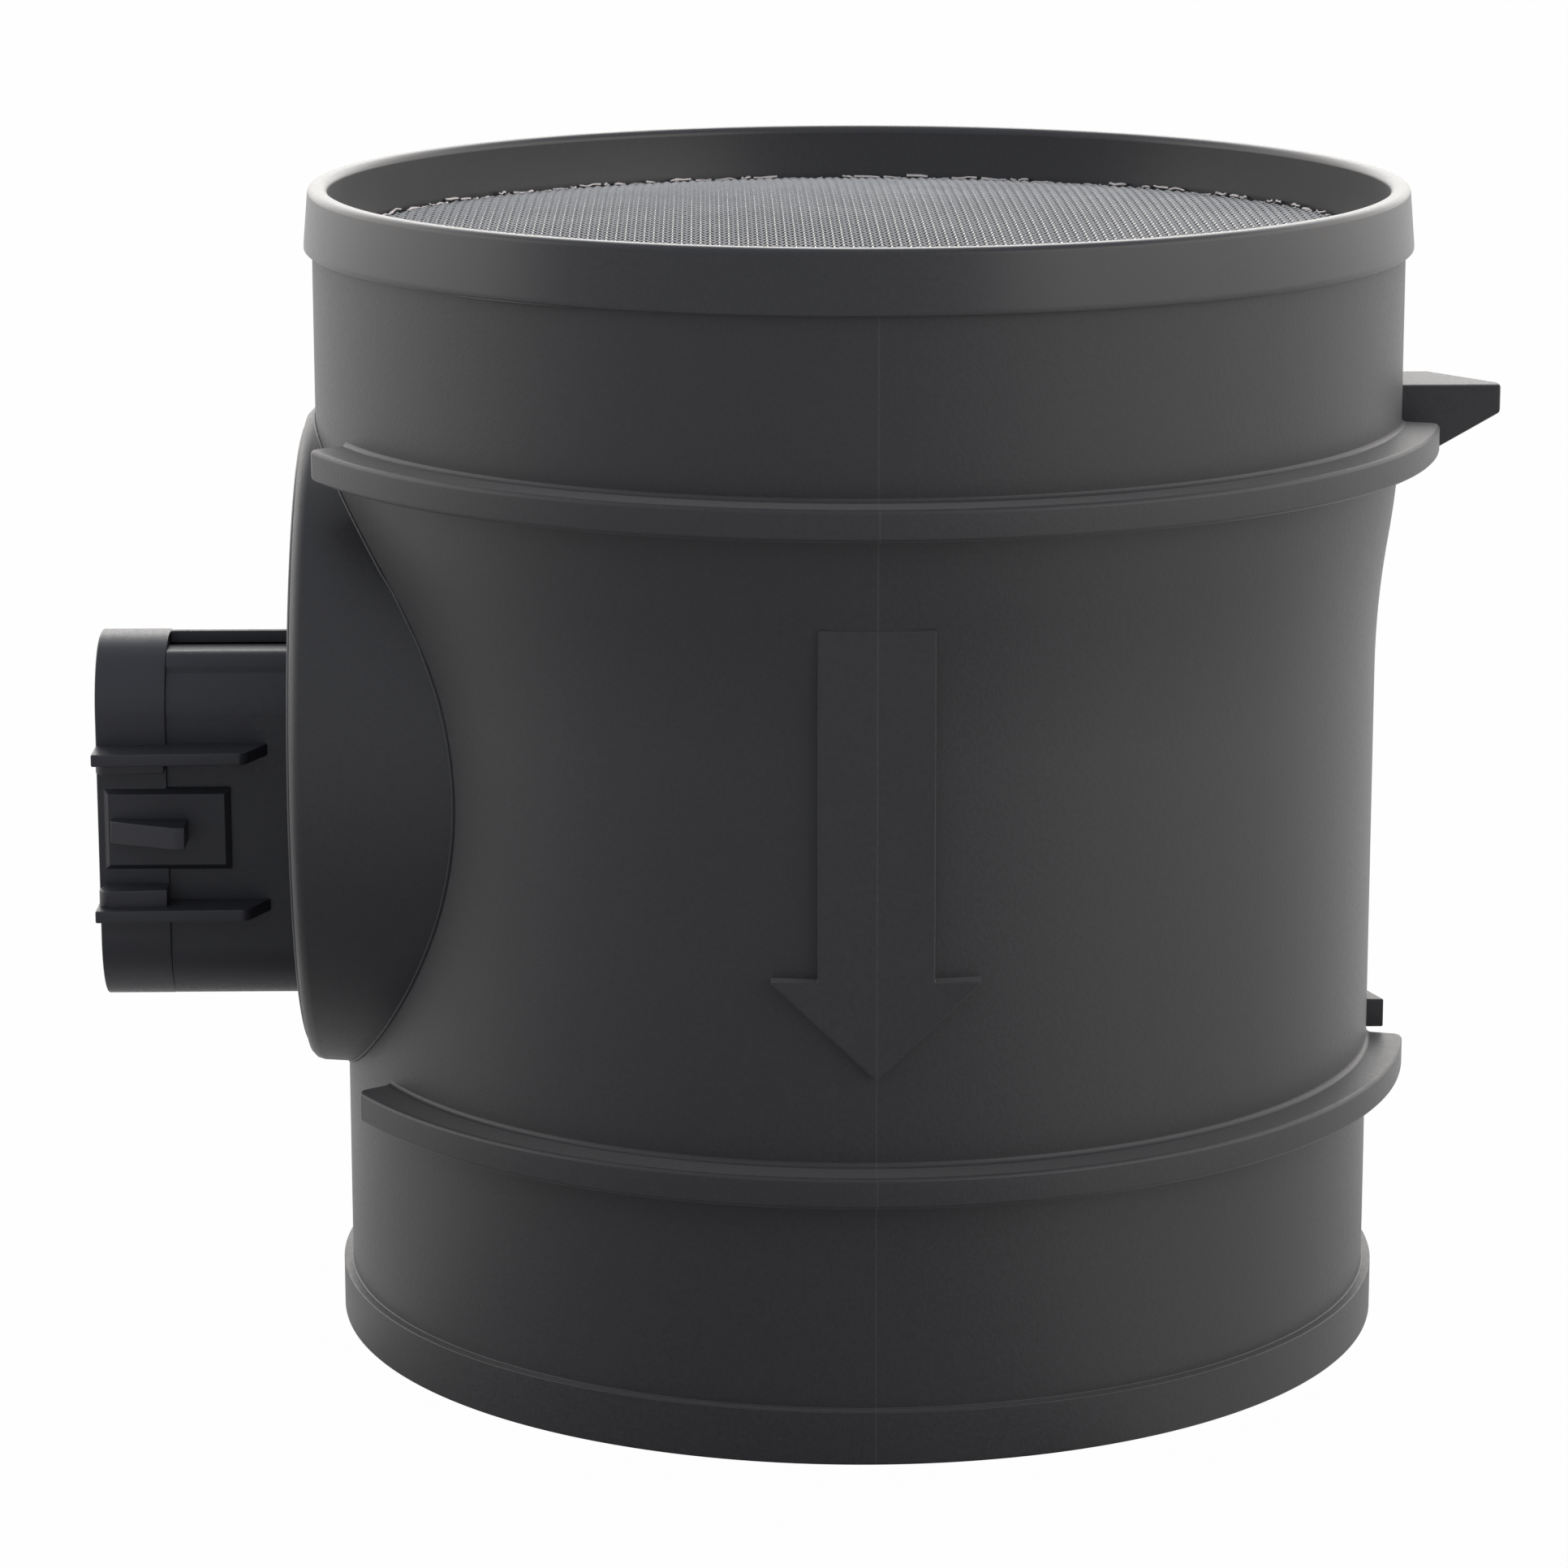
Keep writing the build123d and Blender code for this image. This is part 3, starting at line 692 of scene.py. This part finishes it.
def on_bay_axis(bm):
    """Turns a shape made about Z so that its top points to -X, on the bay's axis."""
    turn = Matrix.Translation((0, 0, BAY_Z * MM)) @ Matrix.Rotation(-pi / 2, 4, "Y")
    bmesh.ops.transform(bm, matrix=turn, verts=bm.verts)
    return bm


def add_flow_tube(nylon):
    """The tube with both end bands, open to the module bay."""
    seat_r = SCREEN_R - SEAT_LIP
    rim_bore = RIM_R - RIM_WALL
    neck_bore = NECK_R - WALL
    waist_bore = WAIST_R - WALL
    pocket_top = SCREEN_Z + SEAT_DEPTH
    outside = [
        (BASE_BAND_R, 0, BASE_ROUND),
        (BASE_BAND_R, BASE_BAND_H, BASE_TOP_ROUND),
        (WAIST_R, BASE_BAND_H, STEP_ROUND),
        (WAIST_R, WALL_ROW_Z, 0),
        *flare(WAIST_R, NECK_R),
        (NECK_R, BAND_Z, STEP_ROUND),
        (BAND_R, BAND_Z, STEP_ROUND),
        (BAND_R, BAND_Z + BAND_LAND, LAND_ROUND),
        (RIM_R, TUBE_TOP, RIM_ROUND),
    ]
    inside = [
        (rim_bore, TUBE_TOP, RIM_INNER_ROUND),
        (rim_bore, pocket_top + RIM_WALL, 0),
        (SCREEN_R, pocket_top, 0),
        (SCREEN_R, SCREEN_Z, 0),
        (seat_r, SCREEN_Z, 0),
        (neck_bore, SCREEN_Z - SEAT_LIP, 0),
        *reversed(flare(waist_bore, neck_bore)),
        (waist_bore, WALL_ROW_Z, 0),
        (waist_bore, MOUTH_CHAMFER, 0),
        (waist_bore + MOUTH_CHAMFER, 0, 0),
    ]
    chamber = turned(column(CHAMBER_R + CHAMBER_CUT_MARGIN, *CHAMBER_CUT), False, CHAMBER_STEPS)
    tube = piece("flow_tube_wall", turned(outside + inside), nylon, [on_bay_axis(chamber)])
    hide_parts("flow_tube")


def add_flash(nylon):
    """The fine mould flash under the inlet band, left of the front."""
    points = []
    for step in range(FLASH_STEPS + 1):
        share = step / FLASH_STEPS
        turn = radians(FLASH_ENDS[0] + (FLASH_ENDS[1] - FLASH_ENDS[0]) * share)
        thickness = FLASH_TIP + (1 - FLASH_TIP) * sin(pi * share)
        points.append((BAND_R * sin(turn), -BAND_R * cos(turn), BAND_Z, thickness))
    curve = round_wire("band_flash", FLASH_R, 1)
    add_strand(curve, points)
    made = from_curve("band_flash", curve, nylon)


def add_rib(name, size, nylon):
    """A locating rib with rounded ends and outer edges, and a fillet where it meets the wall above."""
    low, outer, ends = size
    inner = WAIST_R - WALL / 2
    start = radians(ends[0] - 90)
    sweep = radians(ends[1] - ends[0])
    top = low + RIB_T
    wall = wall_radius(top)
    fillet = [
        (wall + RIB_FILLET * (1 - sin(turn)), top + RIB_FILLET * (1 - cos(turn)))
        for turn in FILLET_TURNS
    ]
    section = ((inner, low), (outer, low), (outer, top), *fillet, (inner, top + RIB_FILLET))
    bm = bmesh.new()
    points = [Vector((r * cos(start), r * sin(start), z)) * MM for r, z in section]
    corners = [bm.verts.new(point) for point in points]
    sides = [bm.edges.new(pair) for pair in zip(corners, corners[1:] + corners[:1])]
    spun(bm, corners + sides, sweep, int(TURN_STEPS * sweep / (2 * pi)), is_full_turn=False)
    open_edges = [edge for edge in bm.edges if edge.is_boundary]
    bmesh.ops.holes_fill(bm, edges=open_edges, sides=len(section))
    closed(bm)

    def reach(edge):
        return min(hypot(vert.co.x, vert.co.y) for vert in edge.verts) / MM

    def is_upright(edge):
        return abs(edge.verts[0].co.z - edge.verts[1].co.z) > RIB_T * MM / 2

    # An end face looks along the rib, neither up nor away from the axis
    def is_end_face(face):
        centre = face.calc_center_median()
        along = abs(face.normal.x * centre.x + face.normal.y * centre.y)
        return abs(face.normal.z) < 0.1 and along < 0.5 * hypot(centre.x, centre.y)

    end_uprights = [
        edge
        for edge in bm.edges
        if is_upright(edge)
        and reach(edge) > outer - RIB_EDGE / 2
        and any(is_end_face(face) for face in edge.link_faces)
    ]
    rounded(bm, end_uprights, RIB_CORNER, 4)
    outer_edges = [
        edge
        for edge in bm.edges
        if not is_upright(edge)
        and reach(edge) > outer - RIB_CORNER - RIB_EDGE / 2
        and edge.calc_face_angle(0) > RIB_FOLD
    ]
    rounded(bm, outer_edges, RIB_EDGE)
    piece(name, bm, nylon)


def add_arrow(nylon):
    """The raised arrow on the front."""
    half = [
        (ARROW_SHAFT / 2, ARROW_TOP_Z),
        (ARROW_SHAFT / 2, ARROW_HEAD_Z),
        (ARROW_HEAD / 2, ARROW_HEAD_Z),
    ]
    other_half = [(-side, height) for side, height in reversed(half)]
    outline = [
        (ARROW_SHIFT + side, height) for side, height in (*half, (0, ARROW_TIP_Z), *other_half)
    ]
    bm = prism(outline, -ARROW_FACE, WALL - ARROW_FACE, backward)
    piece("flow_arrow", bm, nylon, soft_edge=ARROW_SOFT)


def add_catches(nylon):
    """The hooked catch and the low stop on the far side."""
    root = WAIST_R - WALL / 2
    root_drop = CATCH_BEND_DROP + (CATCH_BEND_X - root) * tan(CATCH_SLOPE)
    side = [
        (root, CATCH_TOP),
        (CATCH_REACH, CATCH_TOP),
        (CATCH_REACH, CATCH_TOP - NOSE_H),
        (CATCH_BEND_X, CATCH_TOP - CATCH_BEND_DROP),
        (root, CATCH_TOP - root_drop),
    ]
    back = CATCH_W - CATCH_FRONT
    behind = [
        (CATCH_BEND_X, back),
        (CATCH_REACH, NOSE_W - CATCH_FRONT),
        (CATCH_REACH + CLEAR, NOSE_W - CATCH_FRONT),
        (CATCH_REACH + CLEAR, back + CLEAR),
        (CATCH_BEND_X, back + CLEAR),
    ]
    hook = prism(side, -CATCH_FRONT, back, backward)
    cutter = prism(behind, CATCH_TOP - root_drop - CLEAR, CATCH_TOP + CLEAR, upward)
    piece("upper_catch", hook, nylon, [cutter], soft_edge=CATCH_SOFT)
    outline = [
        (root, -CATCH_FRONT),
        (STOP_REACH, -CATCH_FRONT),
        (WAIST_R, STOP_W - CATCH_FRONT),
        (root, STOP_W - CATCH_FRONT),
    ]
    piece("lower_catch", prism(outline, *STOP_ENDS, upward), nylon, soft_edge=STOP_SOFT)


def add_bay(nylon):
    """The round bay on the side of the tube and the flat pad behind it."""
    seat_r = COVER_R + COVER_GAP
    body = turned(
        [
            (0, BAY_START, 0),
            (BAY_R + (BAY_FACE - BAY_START) * BAY_DRAFT, BAY_START, 0),
            (BAY_R, BAY_FACE, BAY_ROUND),
            (seat_r, BAY_FACE, BAY_INNER_ROUND),
            (seat_r, COVER_BACK, 0),
            (CHAMBER_R, COVER_BACK, 0),
            (CHAMBER_R, CHAMBER_FLOOR, 0),
            (0, CHAMBER_FLOOR, 0),
        ],
        False,
        BAY_STEPS,
    )
    bore = turned(column(WAIST_R - WALL / 3, *BORE_CUT), False, TURN_STEPS)
    piece("module_bay", on_bay_axis(body), nylon, [bore])
    pad = turned(
        [
            (0, FLOOR_FACE, 0),
            (FLOOR_R, FLOOR_FACE, FLOOR_ROUND),
            (FLOOR_R + (CHAMBER_FLOOR - FLOOR_FACE) * FLOOR_SLOPE, CHAMBER_FLOOR, 0),
            (0, CHAMBER_FLOOR, 0),
        ],
        False,
        BAY_STEPS,
    )
    piece("bay_pad", on_bay_axis(pad), nylon)


def add_bay_bead(nylon):
    """The fine raised line where the bay meets the tube's wall."""
    points = []
    for number in range(BEAD_POINTS):
        turn = 2 * pi * number / BEAD_POINTS
        out = WAIST_R
        for _ in range(BEAD_PASSES):
            spread = BAY_R + (BAY_FACE - out) * BAY_DRAFT
            side, height = spread * cos(turn), BAY_Z + spread * sin(turn)
            wall = wall_radius(min(height, FLARE_TOP))
            out = sqrt(wall**2 - side**2)
        points.append((-(out + BEAD_R / 2), side, height, 1))
    curve = round_wire("bay_bead", BEAD_R, 1, has_caps=False)
    spline = add_strand(curve, points, "NURBS")
    spline.order_u = 3
    spline.use_cyclic_u = True
    made = from_curve("bay_bead", curve, nylon)


# Cover and connector


def rounded_block(width, height, corner, start, stop, rise=0.0):
    """A block along -X with rounded long edges, about the connector's middle."""
    low, high = PLUG_Z + rise - height / 2, PLUG_Z + rise + height / 2
    bm = level_box((-stop, -width / 2, low), (-start, width / 2, high))
    long_edges = [
        edge for edge in bm.edges if abs(edge.verts[0].co.x - edge.verts[1].co.x) > TINY
    ]
    if corner:
        rounded(bm, long_edges, corner, CORNER_SEGMENTS)
    return bm


def socket_space():
    """The hollow of the connector, open to -X."""
    width = COLLAR_W - 2 * SHROUD_WALL
    height = COLLAR_H - 2 * SHROUD_WALL
    corner = COLLAR_CORNER - SHROUD_WALL
    return rounded_block(width, height, corner, PLUG_END - SOCKET_DEPTH, PLUG_END + SOCKET_OVERSHOOT)


def round_corner(outline, index, radius, steps=5):
    """Replaces one corner of an outline by an arc."""
    corner = Vector(outline[index])
    before = (Vector(outline[index - 1]) - corner).normalized()
    after = (Vector(outline[(index + 1) % len(outline)]) - corner).normalized()
    half = before.angle(after) / 2
    centre = corner + (before + after).normalized() * radius / sin(half)
    first = corner + before * radius / tan(half) - centre
    last = corner + after * radius / tan(half) - centre
    arc = [tuple(centre + first.slerp(last, step / steps)) for step in range(steps + 1)]
    return outline[:index] + arc + outline[index + 1 :]


def add_connector_body(nylon):
    """The lid, the hollow body and collar, and what runs along the body's top."""
    lid = turned(column(COVER_R, COVER_BACK, COVER_FACE, COVER_ROUND), False, BAY_STEPS)
    cover = piece("cover_lid", on_bay_axis(lid), nylon)
    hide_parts("module_cover")

    body_w = COLLAR_W - 2 * COLLAR_STEP
    body_h = COLLAR_H - FOOT_STEP - SHOULDER
    rise = (FOOT_STEP - SHOULDER) / 2
    start = COVER_FACE - BODY_SUNK
    stop = PLUG_END - COLLAR_LEN
    collar = rounded_block(COLLAR_W, COLLAR_H, COLLAR_CORNER, stop, PLUG_END)
    piece("connector_collar", collar, nylon, [socket_space()], soft_edge=COLLAR_SOFT)
    body = rounded_block(body_w, body_h, COLLAR_CORNER - SHOULDER, start, stop, rise)
    piece("connector_body", body, nylon, [socket_space()])
    top = (COLLAR_H - COLLAR_CORNER) / 2
    saddle_w = body_w - 2 * SADDLE_INSET
    saddle = rounded_block(saddle_w, COLLAR_CORNER, SADDLE_ROUND, start, stop, top - SHOULDER)
    piece("body_saddle", saddle, nylon, [socket_space()])
    fin = rounded_block(FIN_T, COLLAR_CORNER, 0, start, stop, top + FIN_RISE)
    piece("body_fin", fin, nylon, [socket_space()], soft_edge=FIN_SOFT)


def add_lock(nylon):
    """Guards with a block beside each, and the pad that carries the wedge."""
    root = (COLLAR_W - SHROUD_WALL) / 2
    reach = COLLAR_W / 2 + GUARD_RISE
    guard = [
        (-PLUG_END, -root),
        (-PLUG_END, -reach),
        (-GUARD_END - GUARD_SLOPE, -reach),
        (-GUARD_END, COLLAR_STEP - COLLAR_W / 2),
        (-GUARD_END, -root),
    ]
    guard = round_corner(guard, 2, GUARD_ROUND)
    block_reach = COLLAR_W / 2 + BLOCK_RISE
    block = [
        (-PLUG_END + BLOCK_INSET, -root),
        (-PLUG_END + BLOCK_INSET, -block_reach),
        (-PLUG_END + COLLAR_LEN, -block_reach),
        (-PLUG_END + COLLAR_LEN, -root),
    ]
    block = round_corner(block, 1, BLOCK_ROUND)
    for name, side, block_h in (("lower", -1, BLOCK_H[0]), ("upper", 1, BLOCK_H[1])):
        inner = PLUG_Z + side * (GUARD_SPACING - GUARD_T) / 2
        bm = prism(guard, inner, inner + side * GUARD_T, upward)
        piece(f"{name}_guard", bm, nylon, soft_edge=GUARD_SOFT)
        bm = prism(block, inner + side * BLOCK_SUNK, inner - side * block_h, upward)
        piece(f"{name}_block", bm, nylon, soft_edge=GUARD_SOFT)

    pad_face = COLLAR_W / 2 + PAD_RISE
    start = PLUG_END - PAD_INSET
    low, high = PLUG_Z - PAD_H / 2, PLUG_Z + PAD_H / 2
    pad = level_box((-start, -pad_face, low), (-start + PAD_LEN, -root, high))
    front = [
        edge for edge in pad.edges if all(abs(vert.co.y + pad_face * MM) < TINY for vert in edge.verts)
    ]
    rounded(pad, front, PAD_EDGE, 1)
    piece("lock_pad", pad, nylon, soft_edge=PAD_SOFT)
    start = PLUG_END - WEDGE_INSET
    end = start - WEDGE_LEN
    wedge = [
        (-start, -root),
        (-start, -pad_face - WEDGE_START_RISE),
        (-end - WEDGE_FLAT, -pad_face - WEDGE_RISE),
        (-end, -pad_face - WEDGE_RISE),
        (-end, -root),
    ]
    bm = prism(wedge, PLUG_Z - WEDGE_H / 2, PLUG_Z + WEDGE_H / 2, upward)
    piece("lock_wedge", bm, nylon, soft_edge=WEDGE_SOFT)


# Woven screen


def wire_height(x, y):
    """Height of the crowned screen at a point, in millimetres."""
    return SCREEN_Z + WIRE_LEVEL + CROWN * (1 - (x * x + y * y) / SCREEN_R**2)


def add_wires(name, along_x, wire):
    """One set of parallel wires, over and under the other set."""
    crimp = WARP_CRIMP if along_x else WEFT_CRIMP
    reach = SCREEN_R - SEAT_LIP / 2
    count = int(reach / WIRE_PITCH)
    curve = round_wire(name, WIRE_R, 0)
    for row in range(-count, count + 1):
        across = row * WIRE_PITCH
        last = int(sqrt(reach**2 - across**2) / WIRE_PITCH)
        if last < FEWEST_CROSSINGS:
            continue
        points = []
        for station in range(-last, last + 1):
            along = station * WIRE_PITCH
            over = 1 if (row + station) % 2 == (0 if along_x else 1) else -1
            x, y = (along, across) if along_x else (across, along)
            points.append((x, y, wire_height(x, y) + over * WIRE_R * crimp, 1))
        add_strand(curve, points)
    made = from_curve(name, curve, wire)
    return made


def add_wire_ends(wire):
    """The cut and pressed wire ends along the screen's edge, uneven in length and height."""
    chance = random.Random(END_SEED)
    curve = round_wire("screen_edge", END_R, 0)
    turn = 0.0
    while turn < LAST_END:
        length = chance.uniform(*END_LENGTH) / SCREEN_R
        radius = SCREEN_R - chance.uniform(*END_INSET)
        height = SCREEN_Z + chance.uniform(*END_HEIGHT)
        points = []
        for step in range(END_STEPS + 1):
            angle = turn + length * step / END_STEPS
            out = radius + chance.uniform(*END_SIDEWAYS)
            up = height + chance.uniform(*END_UPWARD)
            thickness = chance.uniform(*END_THICKNESS)
            points.append((out * cos(angle), out * sin(angle), up, thickness))
        add_strand(curve, points)
        turn += length + chance.uniform(*END_GAP) / SCREEN_R
    made = from_curve("screen_edge", curve, wire)


def add_screen(wire):
    """The woven screen in its seat."""
    warp = add_wires("screen_warp", True, wire)
    add_wires("screen_weft", False, wire)
    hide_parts("inlet_screen")
    add_wire_ends(cut_wire_and_glint())


# Inner parts


def dress_inner_nodes():
    """Finishes for the CAD nodes that stay as they are."""
    finishes = {
        "seal": plain_finish("seal_rubber", (0.012, 0.012, 0.012), (0.02, 0.02, 0.02), 0.6),
        "terminals": plain_finish(
            "tinned_brass", (0.55, 0.53, 0.48), (0.68, 0.66, 0.62), 0.28, metallic=1.0, scale=300
        ),
        "board": plain_finish("solder_mask", (0.01, 0.06, 0.03), (0.02, 0.09, 0.045), 0.35),
        "chips": plain_finish("moulded_chip", (0.012, 0.012, 0.013), (0.02, 0.02, 0.021), 0.55),
        "capacitors": plain_finish("tan_ceramic", (0.3, 0.2, 0.1), (0.4, 0.28, 0.16), 0.45),
        "resistors": plain_finish("dark_ceramic", (0.02, 0.02, 0.024), (0.05, 0.05, 0.055), 0.4),
        "probe": plain_finish("probe_nylon", (0.013, 0.013, 0.015), (0.019, 0.019, 0.02), 0.36),
        "pins": plain_finish(
            "drawn_pin", (0.5, 0.5, 0.48), (0.64, 0.64, 0.62), 0.3, metallic=1.0, scale=300
        ),
        "elements": plain_finish("glazed_element", (0.62, 0.6, 0.54), (0.74, 0.72, 0.67), 0.2),
        "bead": plain_finish("dipped_bead", (0.06, 0.02, 0.012), (0.11, 0.04, 0.02), 0.15),
    }
    for row in frame["record"]["subparts"]:
        finish = finishes.get(row["material_slot"])
        if finish:
            shown = frame["nodes"][row["node"]]
            shown.data.materials.clear()
            shown.data.materials.append(finish)


# Camera, floor and light


def add_camera():
    """The camera at the photograph's place."""
    data = bpy.data.cameras.new("camera")
    data.sensor_width = CAMERA_SENSOR
    data.lens = CAMERA_LENS
    data.clip_end = CAMERA_REACH
    camera = placed("camera", data)
    camera.matrix_world = (
        Matrix.Translation(Vector(CAMERA_PLACE) * MM)
        @ Matrix.Rotation(-radians(CAMERA_HEADING), 4, "Z")
        @ Matrix.Rotation(pi / 2 - radians(CAMERA_TILT), 4, "X")
        @ Matrix.Rotation(radians(CAMERA_ROLL), 4, "Z")
    )
    bpy.context.scene.camera = camera


def mirror_or_glass(tree):
    """1 where a ray comes from a mirroring surface or from glass."""
    path = node(tree, "ShaderNodeLightPath").outputs
    return maths(tree, "MAXIMUM", path["Is Glossy Ray"], path["Is Transmission Ray"])


def from_camera(tree):
    """1 where a ray comes straight from the camera."""
    return node(tree, "ShaderNodeLightPath").outputs["Is Camera Ray"]


def lit_side(tree, direction):
    """1 towards the lit sides and back of the room, 0 towards its dim front."""
    forward = maths(tree, "MULTIPLY", direction["Y"], -1.0)
    azimuth = maths(tree, "ARCTAN2", direction["X"], forward)
    left = ranged(tree, azimuth, radians(DIM_FROM - DIM_BLUR), radians(DIM_FROM + DIM_BLUR), 1, 0)
    right = ranged(tree, azimuth, radians(DIM_TO - DIM_BLUR), radians(DIM_TO + DIM_BLUR), 0, 1)
    return maths(tree, "MAXIMUM", left, right)


def mixed_shader(tree, share, first, second, output):
    """Sends a mix of two shaders to the output."""
    mix = node(tree, "ShaderNodeMixShader")
    tree.links.new(share, mix.inputs[0])
    tree.links.new(first.outputs[0], mix.inputs[1])
    tree.links.new(second.outputs[0], mix.inputs[2])
    tree.links.new(mix.outputs[0], tree.nodes[output].inputs[0])


def add_floor():
    """A plain floor, white to the camera, that keeps a soft shadow; in mirrors its glow is painted light
    beside and behind it, and painted shade in front and near the object.
    """
    bm = bmesh.new()
    bmesh.ops.create_grid(bm, x_segments=1, y_segments=1, size=FLOOR_HALF)
    floor = loose_object("floor", bm)
    material, tree, shader, coords = surface("pale_floor")
    shader.inputs["Base Color"].default_value = (FLOOR_GREY, FLOOR_GREY, FLOOR_GREY, 1)
    shader.inputs["Roughness"].default_value = 0.9
    shader.inputs["Specular IOR Level"].default_value = 0.1
    glow = node(tree, "ShaderNodeEmission")
    glow.inputs["Color"].default_value = (1, 1, 1, 1)
    glow.inputs["Strength"].default_value = 1.0
    place = parted(tree, coords)
    distance = node(tree, "ShaderNodeVectorMath", operation="LENGTH")
    tree.links.new(coords, distance.inputs[0])
    # Glow in mirrors: a painted shadow that fades out with distance from the object, painted shade in
    # front, painted light beside and behind
    far = ranged(tree, distance.outputs["Value"], *FLOOR_SHADOW_FADE, 0, FLOOR_DIM)
    near = ranged(tree, distance.outputs["Value"], *FLOOR_SIDE_SHADOW_FADE, FLOOR_SIDE_SHADOW_SHARE, 1)
    behind = ranged(tree, place["Y"], *FLOOR_BEHIND, 0, 1)
    beside = maths(tree, "MULTIPLY", lit_side(tree, place), near)
    mirrored = maths(tree, "MAXIMUM", maths(tree, "MAXIMUM", beside, behind), far)
    straight = maths(tree, "MULTIPLY", from_camera(tree), FLOOR_GLOW)
    in_mirrors = maths(tree, "MULTIPLY", mirror_or_glass(tree), mirrored)
    share = maths(tree, "MAXIMUM", straight, in_mirrors)
    mixed_shader(tree, share, shader, glow, "Material Output")
    floor.data.materials.append(material)


def add_room():
    """A plain studio: white to the camera, dim in front and lit at its sides and back."""
    world = bpy.data.worlds.new("studio")
    bpy.context.scene.world = world
    world.use_nodes = True
    tree = world.node_tree
    direction = parted(tree, node(tree, "ShaderNodeTexCoord").outputs["Generated"])
    below_ceiling = ranged(tree, direction["Z"], *CEILING, 1, 0)
    lit = maths(tree, "MULTIPLY", lit_side(tree, direction), below_ceiling)
    level = ranged(tree, lit, 0, 1, ROOM_DIM, ROOM_LIT)
    tint = blended(tree, lit, ROOM_COOL, ROOM_WARM)
    straight = from_camera(tree)
    ambient = tree.nodes["Background"]
    tree.links.new(maths(tree, "MULTIPLY", level, AMBIENT), ambient.inputs["Strength"])
    tree.links.new(tint, ambient.inputs["Color"])
    backdrop = node(tree, "ShaderNodeBackground")
    tree.links.new(maths(tree, "MAXIMUM", level, straight), backdrop.inputs["Strength"])
    tree.links.new(blended(tree, straight, tint, (1, 1, 1)), backdrop.inputs["Color"])
    share = maths(tree, "MAXIMUM", straight, mirror_or_glass(tree))
    mixed_shader(tree, share, ambient, backdrop, "World Output")


def add_back_lamp():
    """One large soft lamp behind the object."""
    data = bpy.data.lights.new("back_lamp", "AREA")
    data.shape = "RECTANGLE"
    data.size, data.size_y = BACK_SIZE
    data.energy = BACK_POWER
    lamp = placed("back_lamp", data)
    lamp.location = BACK_PLACE
    towards = Vector(BACK_TARGET) - Vector(BACK_PLACE)
    lamp.rotation_euler = towards.to_track_quat("-Z", "Y").to_euler()


def main():
    """Builds every piece, the stage and the light."""
    nylon = charcoal_nylon()
    shroud = shroud_nylon_painted_fill()
    add_flow_tube(nylon)
    add_flash(nylon)
    add_rib("upper_rib", UPPER_RIB, nylon)
    add_rib("lower_rib", LOWER_RIB, nylon)
    add_arrow(nylon)
    add_catches(nylon)
    add_bay(nylon)
    add_bay_bead(nylon)
    add_connector_body(shroud)
    add_lock(shroud)
    add_screen(drawn_wire())
    dress_inner_nodes()
    add_camera()
    add_floor()
    add_room()
    add_back_lamp()
    bpy.context.scene.view_settings.view_transform = "Standard"


main()
